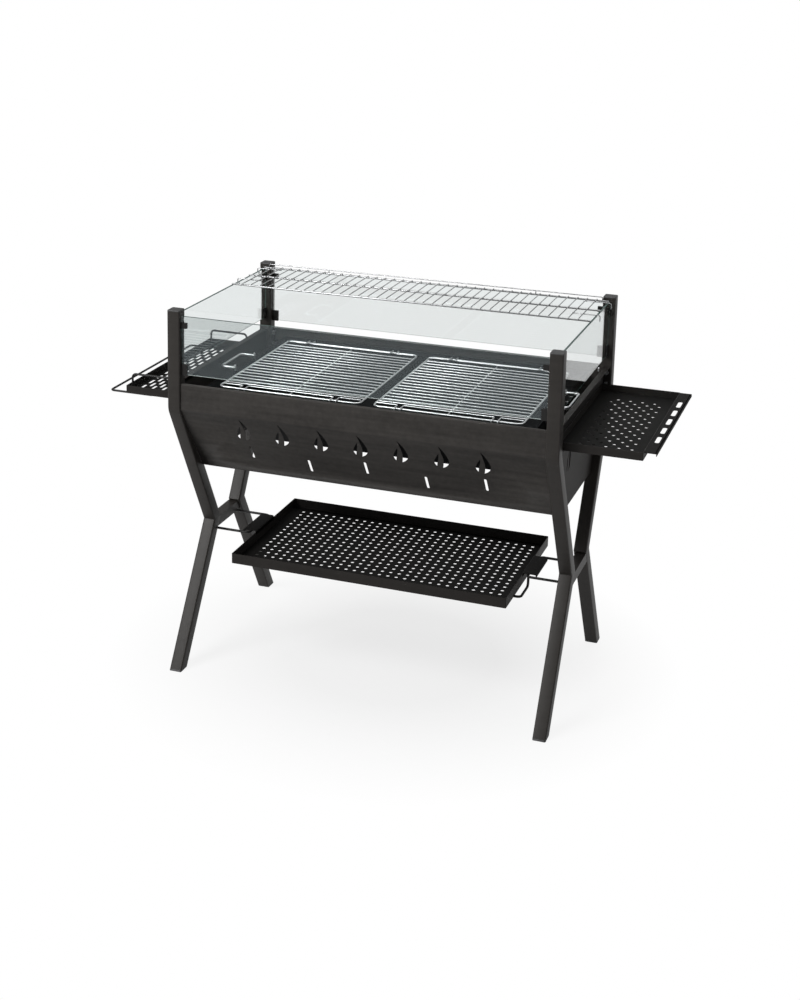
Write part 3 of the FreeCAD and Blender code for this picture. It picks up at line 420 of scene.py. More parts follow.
TUBE_COAT = PowderCoat(
    "tube_coat", (0.014, 0.0122, 0.0106), (0.027, 0.0243, 0.022), 0.44, specular=0.2
)
SHEET_COAT = PowderCoat(
    "sheet_coat", (0.0135, 0.0122, 0.0110), (0.041, 0.0376, 0.0350), 0.52,
    streaks=0.5, specular=0.14,
)
# Painted shade: the end panels take a darker, less glossy copy of the panels' powder coat,
# standing in for the shade that the side shelves cast on them.
END_PAINTED_SHADE_COAT = PowderCoat(
    "end_coat_painted_shade", (0.010, 0.0088, 0.008), (0.020, 0.018, 0.0165), 0.56, specular=0.09
)
WALL_COAT = PowderCoat(
    "wall_coat", (0.009, 0.0078, 0.007), (0.018, 0.016, 0.0145), 0.5, specular=0.15
)
# Painted shade: the tray floors, the tool ledge and the base tabs take a much darker copy of the
# powder coat, standing in for the shade and dark reflections inside the trays.
TRAY_PAINTED_SHADE_COAT = PowderCoat(
    "tray_coat_painted_shade", (0.003, 0.0028, 0.0026), (0.007, 0.0065, 0.006), 0.62, specular=0.08
)
WIRE_COAT = PowderCoat(
    "wire_coat", (0.007, 0.0067, 0.0064), (0.015, 0.0145, 0.014), 0.38, Slot.WIRE, specular=0.18
)
PAN_COAT = PowderCoat(
    "pan_coat", (0.0035, 0.0038, 0.0042), (0.008, 0.0088, 0.0092), 0.6, Slot.PAN,
    depth=0.000008, specular=0.05,
)
CHROME = PlatedWire("chrome", (0.50, 0.51, 0.515), (0.62, 0.63, 0.64), 0.22, Slot.CHROME)
# Painted reflection: the warming rack takes a darker copy of the chrome, standing in for the dark
# surroundings that its wires mirror.
CHROME_PAINTED_DARK_REFLECTION = PlatedWire(
    "chrome_painted_dark_reflection", (0.27, 0.275, 0.28), (0.38, 0.385, 0.39), 0.18, Slot.CHROME
)
ZINC = PlatedWire("zinc", (0.45, 0.46, 0.47), (0.62, 0.63, 0.64), 0.30, Slot.ZINC)
CAP_PLASTIC = Moulded(
    "cap_plastic", (0.012, 0.012, 0.012), (0.026, 0.026, 0.027), 0.52, Slot.CAP
)
END_GLASS = Glass("glass_end", (0.79, 0.83, 0.825), (0.815, 0.84, 0.84), 0.0, Slot.GLASS)
LONG_GLASS = replace(END_GLASS, name="glass_long", thin_axis=1)


# Mesh making


def bent(points: Sequence[Point3], bend: float, steps: int, closed: bool = False) -> list[Vector]:
    """Round the corners of a line.

    Args:
        points: The line's corners.
        bend: The radius of each bend.
        steps: The straight steps in each bend.
        closed: Whether the line returns to its start.

    Returns:
        The rounded line's points.
    """
    corners = [Vector(point) for point in points]
    count = len(corners)
    line: list[Vector] = []
    for i, corner in enumerate(corners):
        back = (corners[i - 1] - corner).normalized()
        ahead = (corners[(i + 1) % count] - corner).normalized()
        half = back.angle(ahead) / 2
        straight = abs(half - math.pi / 2) < STRAIGHT
        if bend <= 0 or straight or (not closed and i in (0, count - 1)):
            line.append(corner)
            continue
        middle = corner + (back + ahead).normalized() * (bend / math.sin(half))
        first = corner + back * (bend / math.tan(half)) - middle
        last = corner + ahead * (bend / math.tan(half)) - middle
        turn = first.rotation_difference(last)
        for step in range(steps + 1):
            spoke = Matrix.Rotation(turn.angle * step / steps, 3, turn.axis) @ first
            line.append(middle + spoke)
    return line


def beside(
    line: Sequence[Point3], axis: Vector, distance: float, closed: bool = False
) -> list[Vector]:
    """A line at a distance from another.

    Args:
        line: The other line.
        axis: What both lines are square to.
        distance: How far to the left the new one runs, for an eye that the axis points at.
        closed: Whether the lines return to their start.

    Returns:
        The new line's points.
    """
    points = [Vector(point) for point in line]
    across = [axis.cross(b - a).normalized() for a, b in zip(points, points[1:] + points[:1])]
    if not closed:
        across[-1] = across[-2]
    moved = []
    for i, (point, after) in enumerate(zip(points, across)):
        before = across[i - 1] if closed or i else after
        mitre = (before + after).normalized()
        moved.append(point + mitre * (distance / mitre.dot(after)))
    return moved


def round_section(radius: float) -> list[Vector]:
    """The points across a round wire."""
    angles = [(i + 0.5) * 2 * math.pi / WIRE_SIDES for i in range(WIRE_SIDES)]
    return [Vector((math.cos(a), math.sin(a), 0)) * radius for a in angles]


def square_section(half: float, corner: float) -> list[Vector]:
    """The points across a square tube with round corners."""
    return bent(around(half, -half, -half, 0), corner, FOLD_STEPS, closed=True)


def around(x0: float, x1: float, half: float, z: float) -> list[Point3]:
    """Four level corners: out from one X to another, then across, then back."""
    return [(x0, -half, z), (x1, -half, z), (x1, half, z), (x0, half, z)]


def hoop(x0: float, x1: float, y: float, low: float, high: float) -> list[Point3]:
    """Four corners of an upright hoop: up at one X, over to another, and down."""
    return [(x0, y, low), (x0, y, high), (x1, y, high), (x1, y, low)]


def axes(x: Vector, y: Vector, z: Vector) -> Matrix:
    """The turn that gives a thing these axes."""
    return Matrix((x, y, z)).transposed().to_4x4()


def arc_through(start: Point2, middle: Point2, end: Point2) -> Outline:
    """An arc through three points.

    Args:
        start: Where it starts.
        middle: Where it passes.
        end: Where it ends.

    Returns:
        The arc's points, without the last.
    """
    (ax, ay), (bx, by), (cx, cy) = start, middle, end
    d = 2 * (ax * (by - cy) + bx * (cy - ay) + cx * (ay - by))
    a2, b2, c2 = ax * ax + ay * ay, bx * bx + by * by, cx * cx + cy * cy
    ux = (a2 * (by - cy) + b2 * (cy - ay) + c2 * (ay - by)) / d
    uy = (a2 * (cx - bx) + b2 * (ax - cx) + c2 * (bx - ax)) / d
    radius = math.hypot(ax - ux, ay - uy)
    first = math.atan2(ay - uy, ax - ux)
    sweep = math.atan2(cy - uy, cx - ux) - first
    turn = (bx - ax) * (cy - ay) - (by - ay) * (cx - ax)
    if turn > 0 and sweep < 0:
        sweep += 2 * math.pi
    if turn < 0 and sweep > 0:
        sweep -= 2 * math.pi
    angles = [first + sweep * i / ARC_STEPS for i in range(ARC_STEPS)]
    return [(ux + radius * math.cos(a), uy + radius * math.sin(a)) for a in angles]


def stadium(x: float, y: float, length: float, width: float) -> Outline:
    """The outline of an upright slot with round ends.

    Args:
        x: Its middle on X.
        y: Its middle on Y.
        length: Its whole length, along Y.
        width: Its width.

    Returns:
        The outline.
    """
    half, straight = width / 2, (length - width) / 2
    top = arc_through((x + half, y + straight), (x, y + length / 2), (x - half, y + straight))
    low = arc_through((x - half, y - straight), (x, y - length / 2), (x + half, y - straight))
    return top + [(x - half, y + straight)] + low + [(x + half, y - straight)]


def circle(x: float, y: float, radius: float, sides: int) -> Outline:
    """The outline of a round hole."""
    angles = [i * 2 * math.pi / sides for i in range(sides)]
    return [(x + radius * math.cos(a), y + radius * math.sin(a)) for a in angles]


def oblong(low: Point2, high: Point2) -> Outline:
    """The outline of a rectangle."""
    return [low, (high[0], low[1]), high, (low[0], high[1])]


class Shape:
    """A mesh in the making. What adds to it returns it again."""

    def __init__(self) -> None:
        """Start with an empty mesh."""
        self.mesh = bmesh.new()

    def skin(self, rings: Sequence[Sequence[Vector]], closed: bool = False) -> "Shape":
        """Cover a row of rings with faces.

        Args:
            rings: The rings, of as many points each.
            closed: Whether the last ring joins the first. Otherwise both ends are capped.

        Returns:
            This shape.
        """
        rows = [[self.mesh.verts.new(point) for point in ring] for ring in rings]
        pairs = list(zip(rows, rows[1:]))
        if closed:
            pairs.append((rows[-1], rows[0]))
        else:
            self.mesh.faces.new(rows[0][::-1])
            self.mesh.faces.new(rows[-1])
        for near, far in pairs:
            for i in range(len(near)):
                j = (i + 1) % len(near)
                self.mesh.faces.new((near[i], near[j], far[j], far[i]))
        return self

    def sweep(
        self,
        points: Sequence[Point3],
        section: Sequence[Vector],
        bend: float = 0.0,
        closed: bool = False,
        cut: Vector | None = None,
        soft: float = 0.0,
    ) -> "Shape":
        """Carry a section along a line, mitred at its corners.

        Args:
            points: The line's corners.
            section: The points across it, about zero.
            bend: The radius of its bends.
            closed: Whether it returns to its start.
            cut: The direction that its two ends are cut square to, instead of its own.
            soft: How far its ends are rounded over.

        Returns:
            This shape.
        """
        line = bent(points, bend, SWEEP_STEPS, closed)
        count = len(line)
        run = line[1] - line[0]
        turn = UP.rotation_difference(run)
        ring = [line[0] + turn @ corner for corner in section]
        rings = []
        for i, point in enumerate(line):
            before = point - line[i - 1] if closed or i else run
            after = line[(i + 1) % count] - point if closed or i < count - 1 else before
            along = before if i else run
            mitre = before.normalized() + after.normalized()
            if cut and i in (0, count - 1):
                mitre = cut
            ring = [c + along * ((point - c).dot(mitre) / along.dot(mitre)) for c in ring]
            rings.append(ring)
        if soft:
            for end, other in ((0, 1), (-1, -2)):
                inward = (line[other] - line[end]).normalized() * soft
                spokes = [point - line[end] for point in rings[end]]
                tip = [
                    [line[end] + spoke * share + inward * depth for spoke in spokes]
                    for depth, share in END_RINGS
                ]
                rings[end] = [point + inward for point in rings[end]]
                rings = rings + tip[::-1] if end else tip + rings
        return self.skin(rings, closed)

    def wire(
        self, points: Sequence[Point3], radius: float, bend: float = 0.0, closed: bool = False
    ) -> "Shape":
        """A round wire along a line, with the ends of an open one rounded over."""
        soft = 0.0 if closed else radius * END_DEPTH
        return self.sweep(points, round_section(radius), bend, closed, soft=soft)

    def bead(self, centre: Point3, size: Point3) -> "Shape":
        """A small smooth lump, such as a weld.

        Args:
            centre: Its middle.
            size: Its half length along each axis.

        Returns:
            This shape.
        """
        place = Matrix.Translation(centre) @ Matrix.Diagonal((*size, 1))
        bmesh.ops.create_icosphere(self.mesh, subdivisions=2, radius=1.0, matrix=place)
        return self

    def block(self, x: Point2, y: Point2, z: Point2) -> "Shape":
        """A block.

        Args:
            x: Where it starts and ends along X.
            y: The same along Y.
            z: The same along Z.

        Returns:
            This shape.
        """
        centre = Vector((sum(x), sum(y), sum(z))) / 2
        size = (abs(x[1] - x[0]), abs(y[1] - y[0]), abs(z[1] - z[0]), 1)
        place = Matrix.Translation(centre) @ Matrix.Diagonal(size)
        bmesh.ops.create_cube(self.mesh, size=1.0, matrix=place)
        return self

    def fold(
        self, profile: Sequence[Point3], axis: Vector, length: float, bend: float = 2.0
    ) -> "Shape":
        """A folded sheet.

        Args:
            profile: The fold's outer line, with the metal to its left.
            axis: The direction of the folds.
            length: How far the sheet runs that way.
            bend: The radius of the folds' middles.

        Returns:
            This shape.
        """
        middle = bent(beside(profile, axis, SHEET / 2), bend, FOLD_STEPS)
        outline = beside(middle, axis, -SHEET / 2) + beside(middle, axis, SHEET / 2)[::-1]
        return self.skin([outline, [point + axis * length for point in outline]])

    def sheet(self, outline: Outline, holes: Iterable[Outline], place: Matrix) -> "Shape":
        """A flat sheet with holes.

        Args:
            outline: Its edge, on X and Y.
            holes: The edges of its holes.
            place: Where its middle plane goes.

        Returns:
            This shape.
        """
        curve = bpy.data.curves.new("outline", "CURVE")
        curve.dimensions = "2D"
        curve.fill_mode = "BOTH"
        curve.extrude = SHEET / 2
        for loop in (outline, *holes):
            spline = curve.splines.new("POLY")
            spline.points.add(len(loop) - 1)
            spline.points.foreach_set("co", [c for x, y in loop for c in (x, y, 0, 1)])
            spline.use_cyclic_u = True
        holder = bpy.data.objects.new("outline", curve)
        bpy.context.scene.collection.objects.link(holder)
        mesh = bpy.data.meshes.new_from_object(
            holder.evaluated_get(bpy.context.evaluated_depsgraph_get())
        )
        mesh.transform(place)
        self.mesh.from_mesh(mesh)
        bpy.data.meshes.remove(mesh)
        bpy.data.objects.remove(holder)
        bpy.data.curves.remove(curve)
        return self

    def copied(self, *places: Matrix) -> "Shape":
        """Copy this shape.

        Args:
            places: Where the copies go, one each.

        Returns:
            A new shape of all the copies.
        """
        made = Shape()
        mesh = bpy.data.meshes.new("copy")
        for place in places:
            self.mesh.to_mesh(mesh)
            mesh.transform(place)
            made.mesh.from_mesh(mesh)
        bpy.data.meshes.remove(mesh)
        return made

    def piece(
        self, name: str, finish: Finish, body: Body, node: str = "", bevel: float = 0.0
    ) -> None:
        """Turn the mesh into a piece of the grill.

        Args:
            name: The piece's name.
            finish: Its finish.
            body: The body that it rides on.
            node: The solid that it stands for, if any.
            bevel: How far its sharp edges are rounded.
        """
        bmesh.ops.remove_doubles(self.mesh, verts=self.mesh.verts, dist=0.001)
        bmesh.ops.recalc_face_normals(self.mesh, faces=self.mesh.faces)
        data = bpy.data.meshes.new(name)
        self.mesh.to_mesh(data)
        self.mesh.free()
        data.transform(Matrix.Translation((STAND_MIDDLE, 0, 0)) @ Matrix.Scale(MM, 4))
        data.shade_smooth()
        data.set_sharp_from_angle(angle=SMOOTH_BELOW)
        data.materials.append(finish.material())
        made = bpy.data.objects.new(name, data)
        bpy.context.scene.collection.objects.link(made)
        if bevel:
            round_edges(made, bevel)
        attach(made, body.value)
        if node:
            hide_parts(node)
        log.info("%s: %d faces", name, len(data.polygons))


def round_edges(thing: bpy.types.Object, width: float) -> None:
    """Round the sharp edges of an object.

    Args:
        thing: The object.
        width: How far they are rounded.
    """
    bevel = thing.modifiers.new("round", "BEVEL")
    bevel.width = width * MM
    bevel.segments = 2
    bevel.limit_method = "ANGLE"
    bevel.angle_limit = BEVEL_ABOVE
    bevel.harden_normals = True


def dress(finish: Finish, bevel: float, *nodes: str) -> None:
    """Give solids of the model a finish.

    Args:
        finish: The finish.
        bevel: How far their sharp edges are rounded.
        nodes: The solids' names.
    """
    for node in nodes:
        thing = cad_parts[node]
        thing.data.materials.clear()
        thing.data.materials.append(finish.material())
        if bevel:
            round_edges(thing, bevel)
        log.info("%s: dressed", node)


# The stand


@dataclass
class Stand:
    """Bent upper posts on splayed legs, with plastic caps and the crossbars at the waist."""

    height: float = 870.0
    half_width: float = 450.0
    half_depth: float = 277.5
    waist: float = 310.0
    waist_half: float = 89.6
    bend: float = 637.0
    bend_radius: float = 27.0
    foot_half: float = 281.0
    tube: float = 30.0
    corner: float = 3.2
    least_corner: float = 0.6
    cap: float = 3.0
    foot: float = 4.0
    # The caps' crown, as shares of the lip's height and how far in it lies there.
    crown: tuple[Point2, ...] = (
        (0.0, 0.0), (0.35, 0.05), (0.75, 0.3), (0.93, 0.9), (1.0, 2.6), (1.0, 9.0),
    )

    @property
    def post_lean(self) -> float:
        """How far the leaning part of a post moves in for each millimetre down."""
        return (self.half_depth - self.waist_half) / (self.bend - self.waist)

    @property
    def leg_lean(self) -> float:
        """How far a leg moves out for each millimetre down."""
        return (self.foot_half - self.waist_half) / self.waist

    def centre(self, outer: float, lean: float, height: float) -> Vector:
        """The middle of a leaning tube whose outer face is at a distance from the middle."""
        y = outer - self.tube / 2 * math.hypot(1, lean)
        return Vector((self.half_width - self.tube / 2, y, height))

    def tubing(self, *points: Point3, bend: float = 0.0) -> Shape:
        """A tube along a line, with both ends cut level."""
        section = square_section(self.tube / 2, self.corner)
        return Shape().sweep(points, section, bend, cut=UP)

    def post(self) -> Shape:
        """Make a post.

        Returns:
            The back right post.
        """
        slant = math.hypot(1, self.post_lean)
        knee = self.bend + self.tube / 2 * (slant - 1) / self.post_lean
        waist = self.centre(self.waist_half, self.post_lean, self.waist)
        x, y = self.half_width - self.tube / 2, self.half_depth - self.tube / 2
        top = self.height - self.cap
        return self.tubing(waist, (x, y, knee), (x, y, top), bend=self.bend_radius)

    def leg(self) -> Shape:
        """Make a leg.

        Returns:
            The back right leg.
        """
        low = self.waist_half + (self.waist - self.foot) * self.leg_lean
        return self.tubing(
            self.centre(low, self.leg_lean, self.foot),
            self.centre(self.waist_half, self.leg_lean, self.waist),
        )

    def post_cap(self) -> Shape:
        """Make the cap in a post's top: a flat lip with a crowned top.

        Returns:
            The back right post's cap.
        """
        x, y = self.half_width - self.tube / 2, self.half_depth - self.tube / 2
        rings = []
        for rise, inset in self.crown:
            corner = max(self.corner - inset / 2, self.least_corner)
            section = square_section(self.tube / 2 - inset, corner)
            middle = Vector((x, y, self.height - self.cap * (1 - rise)))
            rings.append([middle + point for point in section])
        return Shape().skin(rings)

    def foot_cap(self) -> Shape:
        """Make the plastic foot under a leg.

        Returns:
            The back right foot.
        """
        inner = self.foot_half - self.foot * self.leg_lean
        return self.tubing(
            self.centre(self.foot_half, self.leg_lean, 0.0),
            self.centre(inner, self.leg_lean, self.foot),
        )

    def build(self) -> None:
        """Make the stand's pieces."""
        corners = {
            "front_left": TURNED, "front_right": FLIP_Y, "back_left": FLIP_X, "back_right": SAME,
        }
        for corner, place in corners.items():
            tube, leg = self.post().copied(place), self.leg().copied(place)
            tube.piece("tube_" + corner, TUBE_COAT, Body.STAND, "post_" + corner)
            leg.piece("splayed_" + corner, TUBE_COAT, Body.STAND, "leg_" + corner)
        caps, feet = self.post_cap(), self.foot_cap()
        caps.copied(*corners.values()).piece("top_caps", CAP_PLASTIC, Body.STAND, "post_caps")
        feet.copied(*corners.values()).piece("feet", CAP_PLASTIC, Body.STAND, "foot_caps", 0.5)
        dress(TUBE_COAT, 0.8, "crossbar_left", "crossbar_right")
        dress(ZINC, 0.0, "leg_joiners")


# The firebox


@dataclass
class Firebox:
    """Folded sheet panels with flame-shaped vents, and what is fixed to them."""

    stand: Stand
    half_long: float = 419.7
    face_y: float = 273.0
    rim: float = 700.0
    fold_z: float = 640.0
    drop: float = 169.0
    slope: float = math.radians(35)
    join: float = 6.0
    lip: float = 8.0
    hem: float = 10.0
    flange: float = 18.0
    flange_gaps: Point2 = (1.5, 0.5)
    flames: int = 7
    flame_top: float = 15.0
    flame_tall: float = 76.0
    flame_wide: float = 32.0
    flame_pitch: float = 93.0
    draughts: int = 5
    draught: Point2 = (43.0, 6.0)
    draught_pitch: float = 138.0
    draught_rows: Point2 = (-128.0, -150.0)
    end_x: float = 430.0
    end_half: float = 247.2
    end_foot: Point2 = (146.9, 471.0)
    end_knee: Point2 = (632.0, 650.0)
    knee_ease: float = 0.6
    rim_gap: float = 0.4
    end_lap: float = 9.0
    end_bend: float = 1.4
    end_flange: float = 14.0
    end_flame_y: float = 93.0
    wing_x: Point2 = (431.0, 447.0)
    wing_z: float = 653.0
    # Each lick's tip, bulge, foot and hollow, and a point on the way to the next, as shares
    # of the flame's width from its middle and of its height from its top.
    licks: tuple[tuple[Point2, ...], ...] = (
        ((-0.06, -0.09), (0.25, 0.15), (0.50, 0.54), (0.38, 0.76),
         (-0.04, 0.94), (0.04, 0.78), (0.11, 0.54), (0.06, 0.23)),
        ((-0.14, 0.27), (-0.40, 0.47), (-0.59, 0.67), (-0.56, 0.79),
         (-0.45, 0.89), (-0.40, 0.78), (-0.34, 0.66), (-0.20, 0.45)),
    )

    def flame(self, x: float, top: float) -> list[Outline]:
        """Outline one flame.

        Args:
            x: Its middle.
            top: Its top.

        Returns:
            The outlines of its two licks.
        """
        outlines = []
        for lick in self.licks:
            points = [(x + a * self.flame_wide, top - d * self.flame_tall) for a, d in lick]
            outline = []
            for i in range(0, len(points), 2):
                outline += arc_through(points[i], points[i + 1], points[(i + 2) % len(points)])
            outlines.append(outline)
        return outlines

    def vents(self) -> list[Outline]:
        """Outline the vents of the front panel's slope.

        Returns:
            The outlines of its flames and draught slots, down from the fold.
        """
        holes = []
        for i in range(self.flames):
            holes += self.flame((i - self.flames // 2) * self.flame_pitch, -self.flame_top)
        for i in range(self.draughts):
            x = (i - self.draughts // 2) * self.draught_pitch
            holes.append(stadium(x, self.draught_rows[i % 2], *self.draught))
        return holes

    def front_panel(self) -> Shape:
        """Make the front panel: lip, band, slope with its vents, and hem.

        Returns:
            The panel.
        """
        down = Vector((0, math.sin(self.slope), -math.cos(self.slope)))
        bend = Vector((-self.half_long, -self.face_y, self.fold_z))
        length = self.drop / math.cos(self.slope)
        foot = bend + down * length
        rim = Vector((-self.half_long, -self.face_y, self.rim))
        shape = Shape()
        for profile in (
            (rim + ALONG_Y * self.lip, rim, bend, bend + down * self.join),
            (foot - down * self.join, foot, foot + ALONG_Y * self.hem),
        ):
            shape.fold(profile, ALONG_X, 2 * self.half_long)
        outward = ALONG_X.cross(-down)
        middle = Vector((0, -self.face_y, self.fold_z)) - outward * (SHEET / 2)
        low, high = (-self.half_long, self.join - length), (self.half_long, -self.join)
        place = Matrix.Translation(middle) @ axes(ALONG_X, -down, outward)
        shape.sheet(oblong(low, high), self.vents(), place)
        for side in (-1, 1):
            shape.block(
                (side * (self.half_long - SHEET), side * self.half_long),
                (-self.face_y + SHEET, -self.face_y + self.flange),
                (self.fold_z + self.flange_gaps[0], self.rim - SHEET - self.flange_gaps[1]),
            )
        return shape

    def end_panel(self) -> Shape:
        """Make an end panel with its two flames, its rim and its wings.

        Returns:
            The right end panel.
        """
        foot_y, foot_z = self.end_foot
        knee_low, knee_high = self.end_knee
        half = [
            (foot_y, foot_z),
            (foot_y + (knee_low - foot_z) * self.stand.post_lean, knee_low),
            (self.end_half - self.knee_ease, (knee_low + knee_high) / 2),
            (self.end_half, knee_high),
            (self.end_half, self.rim - self.rim_gap),
        ]
        outline = half + [(-y, z) for y, z in reversed(half)]
        holes = []
        for y in (-self.end_flame_y, self.end_flame_y):
            holes += self.flame(y, self.fold_z - self.flame_top)
        place = Matrix.Translation((self.end_x + SHEET / 2, 0, 0)) @ axes(ALONG_Y, UP, ALONG_X)
        shape = Shape().sheet(outline, holes, place)
        y = -self.end_half
        corner = (
            (self.end_x, y, self.rim - self.end_lap), (self.end_x, y, self.rim),
            (self.end_x + self.end_flange, y, self.rim),
        )
        shape.fold(corner, ALONG_Y, 2 * self.end_half, self.end_bend)
        for side in (-1, 1):
            wing_y = (side * (self.end_half - SHEET), side * self.end_half)
            shape.block(self.wing_x, wing_y, (self.wing_z, self.rim - SHEET))
        return shape

    def build(self) -> None:
        """Make the firebox's pieces."""
        front, end = self.front_panel(), self.end_panel()
        for side, shape, place, coat in (
            ("front", front, SAME, SHEET_COAT), ("back", front, TURNED, SHEET_COAT),
            ("right", end, SAME, END_PAINTED_SHADE_COAT), ("left", end, FLIP_X, END_PAINTED_SHADE_COAT),
        ):
            panel = f"firebox_{side}_panel"
            shape.copied(place).piece("vented_" + side, coat, Body.STAND, panel)
        dress(TUBE_COAT, 0.3, "pan_ledge_front", "pan_ledge_back")
        dress(TUBE_COAT, 0.3, "shelf_straps_left", "shelf_straps_right")
        dress(ZINC, 0.4, "panel_bolts")


# The charcoal pan and the grates


@dataclass
class Pan:
    """The charcoal pan, a folded trough with two flanges, and its two wire handles."""

    rim: float = 682.3
    half_long: float = 385.0
    half_wide: float = 215.0
    flange: float = 45.0
    floor: float = 505.5
    floor_long: float = 338.0
    floor_wide: float = 20.0
    corner: float = 4.0
    wire: float = 3.1
    bend: float = 11.0
    reach: float = 32.0
    handle_half: float = 57.0
    prong: float = 8.5
    peg: float = 7.0
    peg_share: float = 0.8
    inside: float = 381.3
    weld: Point3 = (3.0, 3.0, 2.6)

    def trough(self) -> Shape:
        """Make the trough with its flanges.

        Returns:
            The trough.
        """
        levels = (
            (self.floor_long, self.floor_wide, self.floor),
            (self.half_long - SHEET / 2, self.half_wide, self.rim - SHEET),
            (self.half_long, self.half_wide + self.flange, self.rim - SHEET),
            (self.half_long, self.half_wide + self.flange, self.rim),
            (self.half_long - SHEET, self.half_wide - SHEET, self.rim),
            (self.floor_long - SHEET, self.floor_wide - SHEET / 2, self.floor + SHEET),
        )
        return Shape().skin([
            bent(around(-x, x, y, z), self.corner, CORNER_STEPS, closed=True) for x, y, z in levels
        ])

    def handle(self) -> Shape:
        """Make a handle with the upright ends that hold it.

        Returns:
            The right handle.
        """
        x, y = self.inside, self.handle_half
        top = self.rim + self.wire
        bar = around(x, self.half_long + self.reach, y, top)
        shape = Shape().wire(bar, self.wire, self.bend)
        for side in (-y, y):
            pin = ((x, side, top - self.prong), (x, side, top + self.peg))
            shape.wire(pin, self.wire * self.peg_share).bead((x, side, top), self.weld)
        return shape

    def build(self) -> None:
        """Make the pan's pieces."""
        self.trough().piece("folded_pan", PAN_COAT, Body.PAN, "charcoal_pan", bevel=0.4)
        for side, place in (("left", FLIP_X), ("right", SAME)):
            handle = self.handle().copied(place)
            handle.piece("lift_handle_" + side, CHROME, Body.PAN, "pan_handle_" + side)


@dataclass
class Grate:
    """One cooking grate: frame, wires, centre wire, bearers and their welds."""

    side: str
    low: float
    body: Body
    long: float = 337.0
    half_wide: float = 211.0
    level: float = 686.0
    frame_wire: float = 2.2
    thin_wire: float = 1.35
    wires: int = 17
    setback: float = 16.0
    prongs: Point2 = (52.0, 66.0)
    foot: float = 9.0
    foot_z: float = 682.6
    corner: float = 14.0
    bearer_start: float = 1.0
    bearer_bend: float = 2.5
    weld_in: float = 0.4
    weld_down: float = 1.4
    end_weld: Point3 = (1.9, 1.8, 1.35)
    middle_weld: Point3 = (1.7, 1.7, 1.1)
    bearer_weld: Point3 = (1.9, 2.2, 1.1)

    @property
    def high(self) -> float:
        """Where the grate ends along X."""
        return self.low + self.long

    def outer_frame(self) -> Shape:
        """The heavier wire round the grate."""
        corners = around(self.low, self.high, self.half_wide, self.level)
        return Shape().wire(corners, self.frame_wire, self.corner, closed=True)

    def cross_wires(self) -> Shape:
        """Make the wires across the frame, the centre wire and a weld at each crossing.

        Returns:
            The wires and welds.
        """
        shape = Shape()
        low, high = self.low + self.frame_wire, self.high - self.frame_wire
        middle = self.low + self.long / 2
        z = self.level + self.frame_wire - self.thin_wire
        span = self.half_wide - self.setback
        for i in range(self.wires):
            y = -span + (i + 1) * 2 * span / (self.wires + 1)
            shape.wire([(low, y, z), (high, y, z)], self.thin_wire)
            for x in (low + self.weld_in, high - self.weld_in):
                shape.bead((x, y, z), self.end_weld)
            shape.bead((middle, y, z - self.thin_wire), self.middle_weld)
        under = z - 2 * self.thin_wire
        end_y = self.half_wide - self.frame_wire
        return shape.wire([(middle, -end_y, under), (middle, end_y, under)], self.thin_wire)

    def bearers(self) -> Shape:
        """Make the bent wires along both long sides.

        Returns:
            The wires and welds.
        """
        low, high = self.low, self.high
        near, far = self.prongs
        z = self.level + self.frame_wire + self.thin_wire
        back, foot_y = self.setback - self.half_wide, -self.half_wide - self.foot

        def prong(x: float) -> list[Point3]:
            """The points of one bent prong."""
            return [(x, back, z), (x, foot_y, z), (x, foot_y, self.foot_z)]

        shape = Shape()
        for line in (
            [(low + self.bearer_start, back, z)] + prong(low + near),
            prong(low + far)[::-1] + prong(high - far),
            prong(high - near)[::-1] + [(high - self.bearer_start, back, z)],
        ):
            shape.wire(line, self.thin_wire, self.bearer_bend)
        for x in (low + near, low + far, high - far, high - near):
            shape.bead((x, -self.half_wide, z - self.weld_down), self.bearer_weld)
        return shape.copied(SAME, FLIP_Y)

    def build(self) -> None:
        """Make the grate's pieces."""
        for kind, shape in (
            ("frame", self.outer_frame()), ("wires", self.cross_wires()),
            ("bearers", self.bearers()),
        ):
            part = f"{kind}_{self.side}"
            shape.piece("bright_" + part, CHROME, self.body, "grate_" + part)


# The screens and the warming rack


class Screens:
    """The four glass screens in their clips."""

    def build(self) -> None:
        """Dress the panes and the clips."""
        dress(LONG_GLASS, 0.0, "glass_front", "glass_back")
        dress(END_GLASS, 0.0, "glass_left", "glass_right")
        dress(WIRE_COAT, 0.35, "glass_clips_upper", "glass_clips_lower")


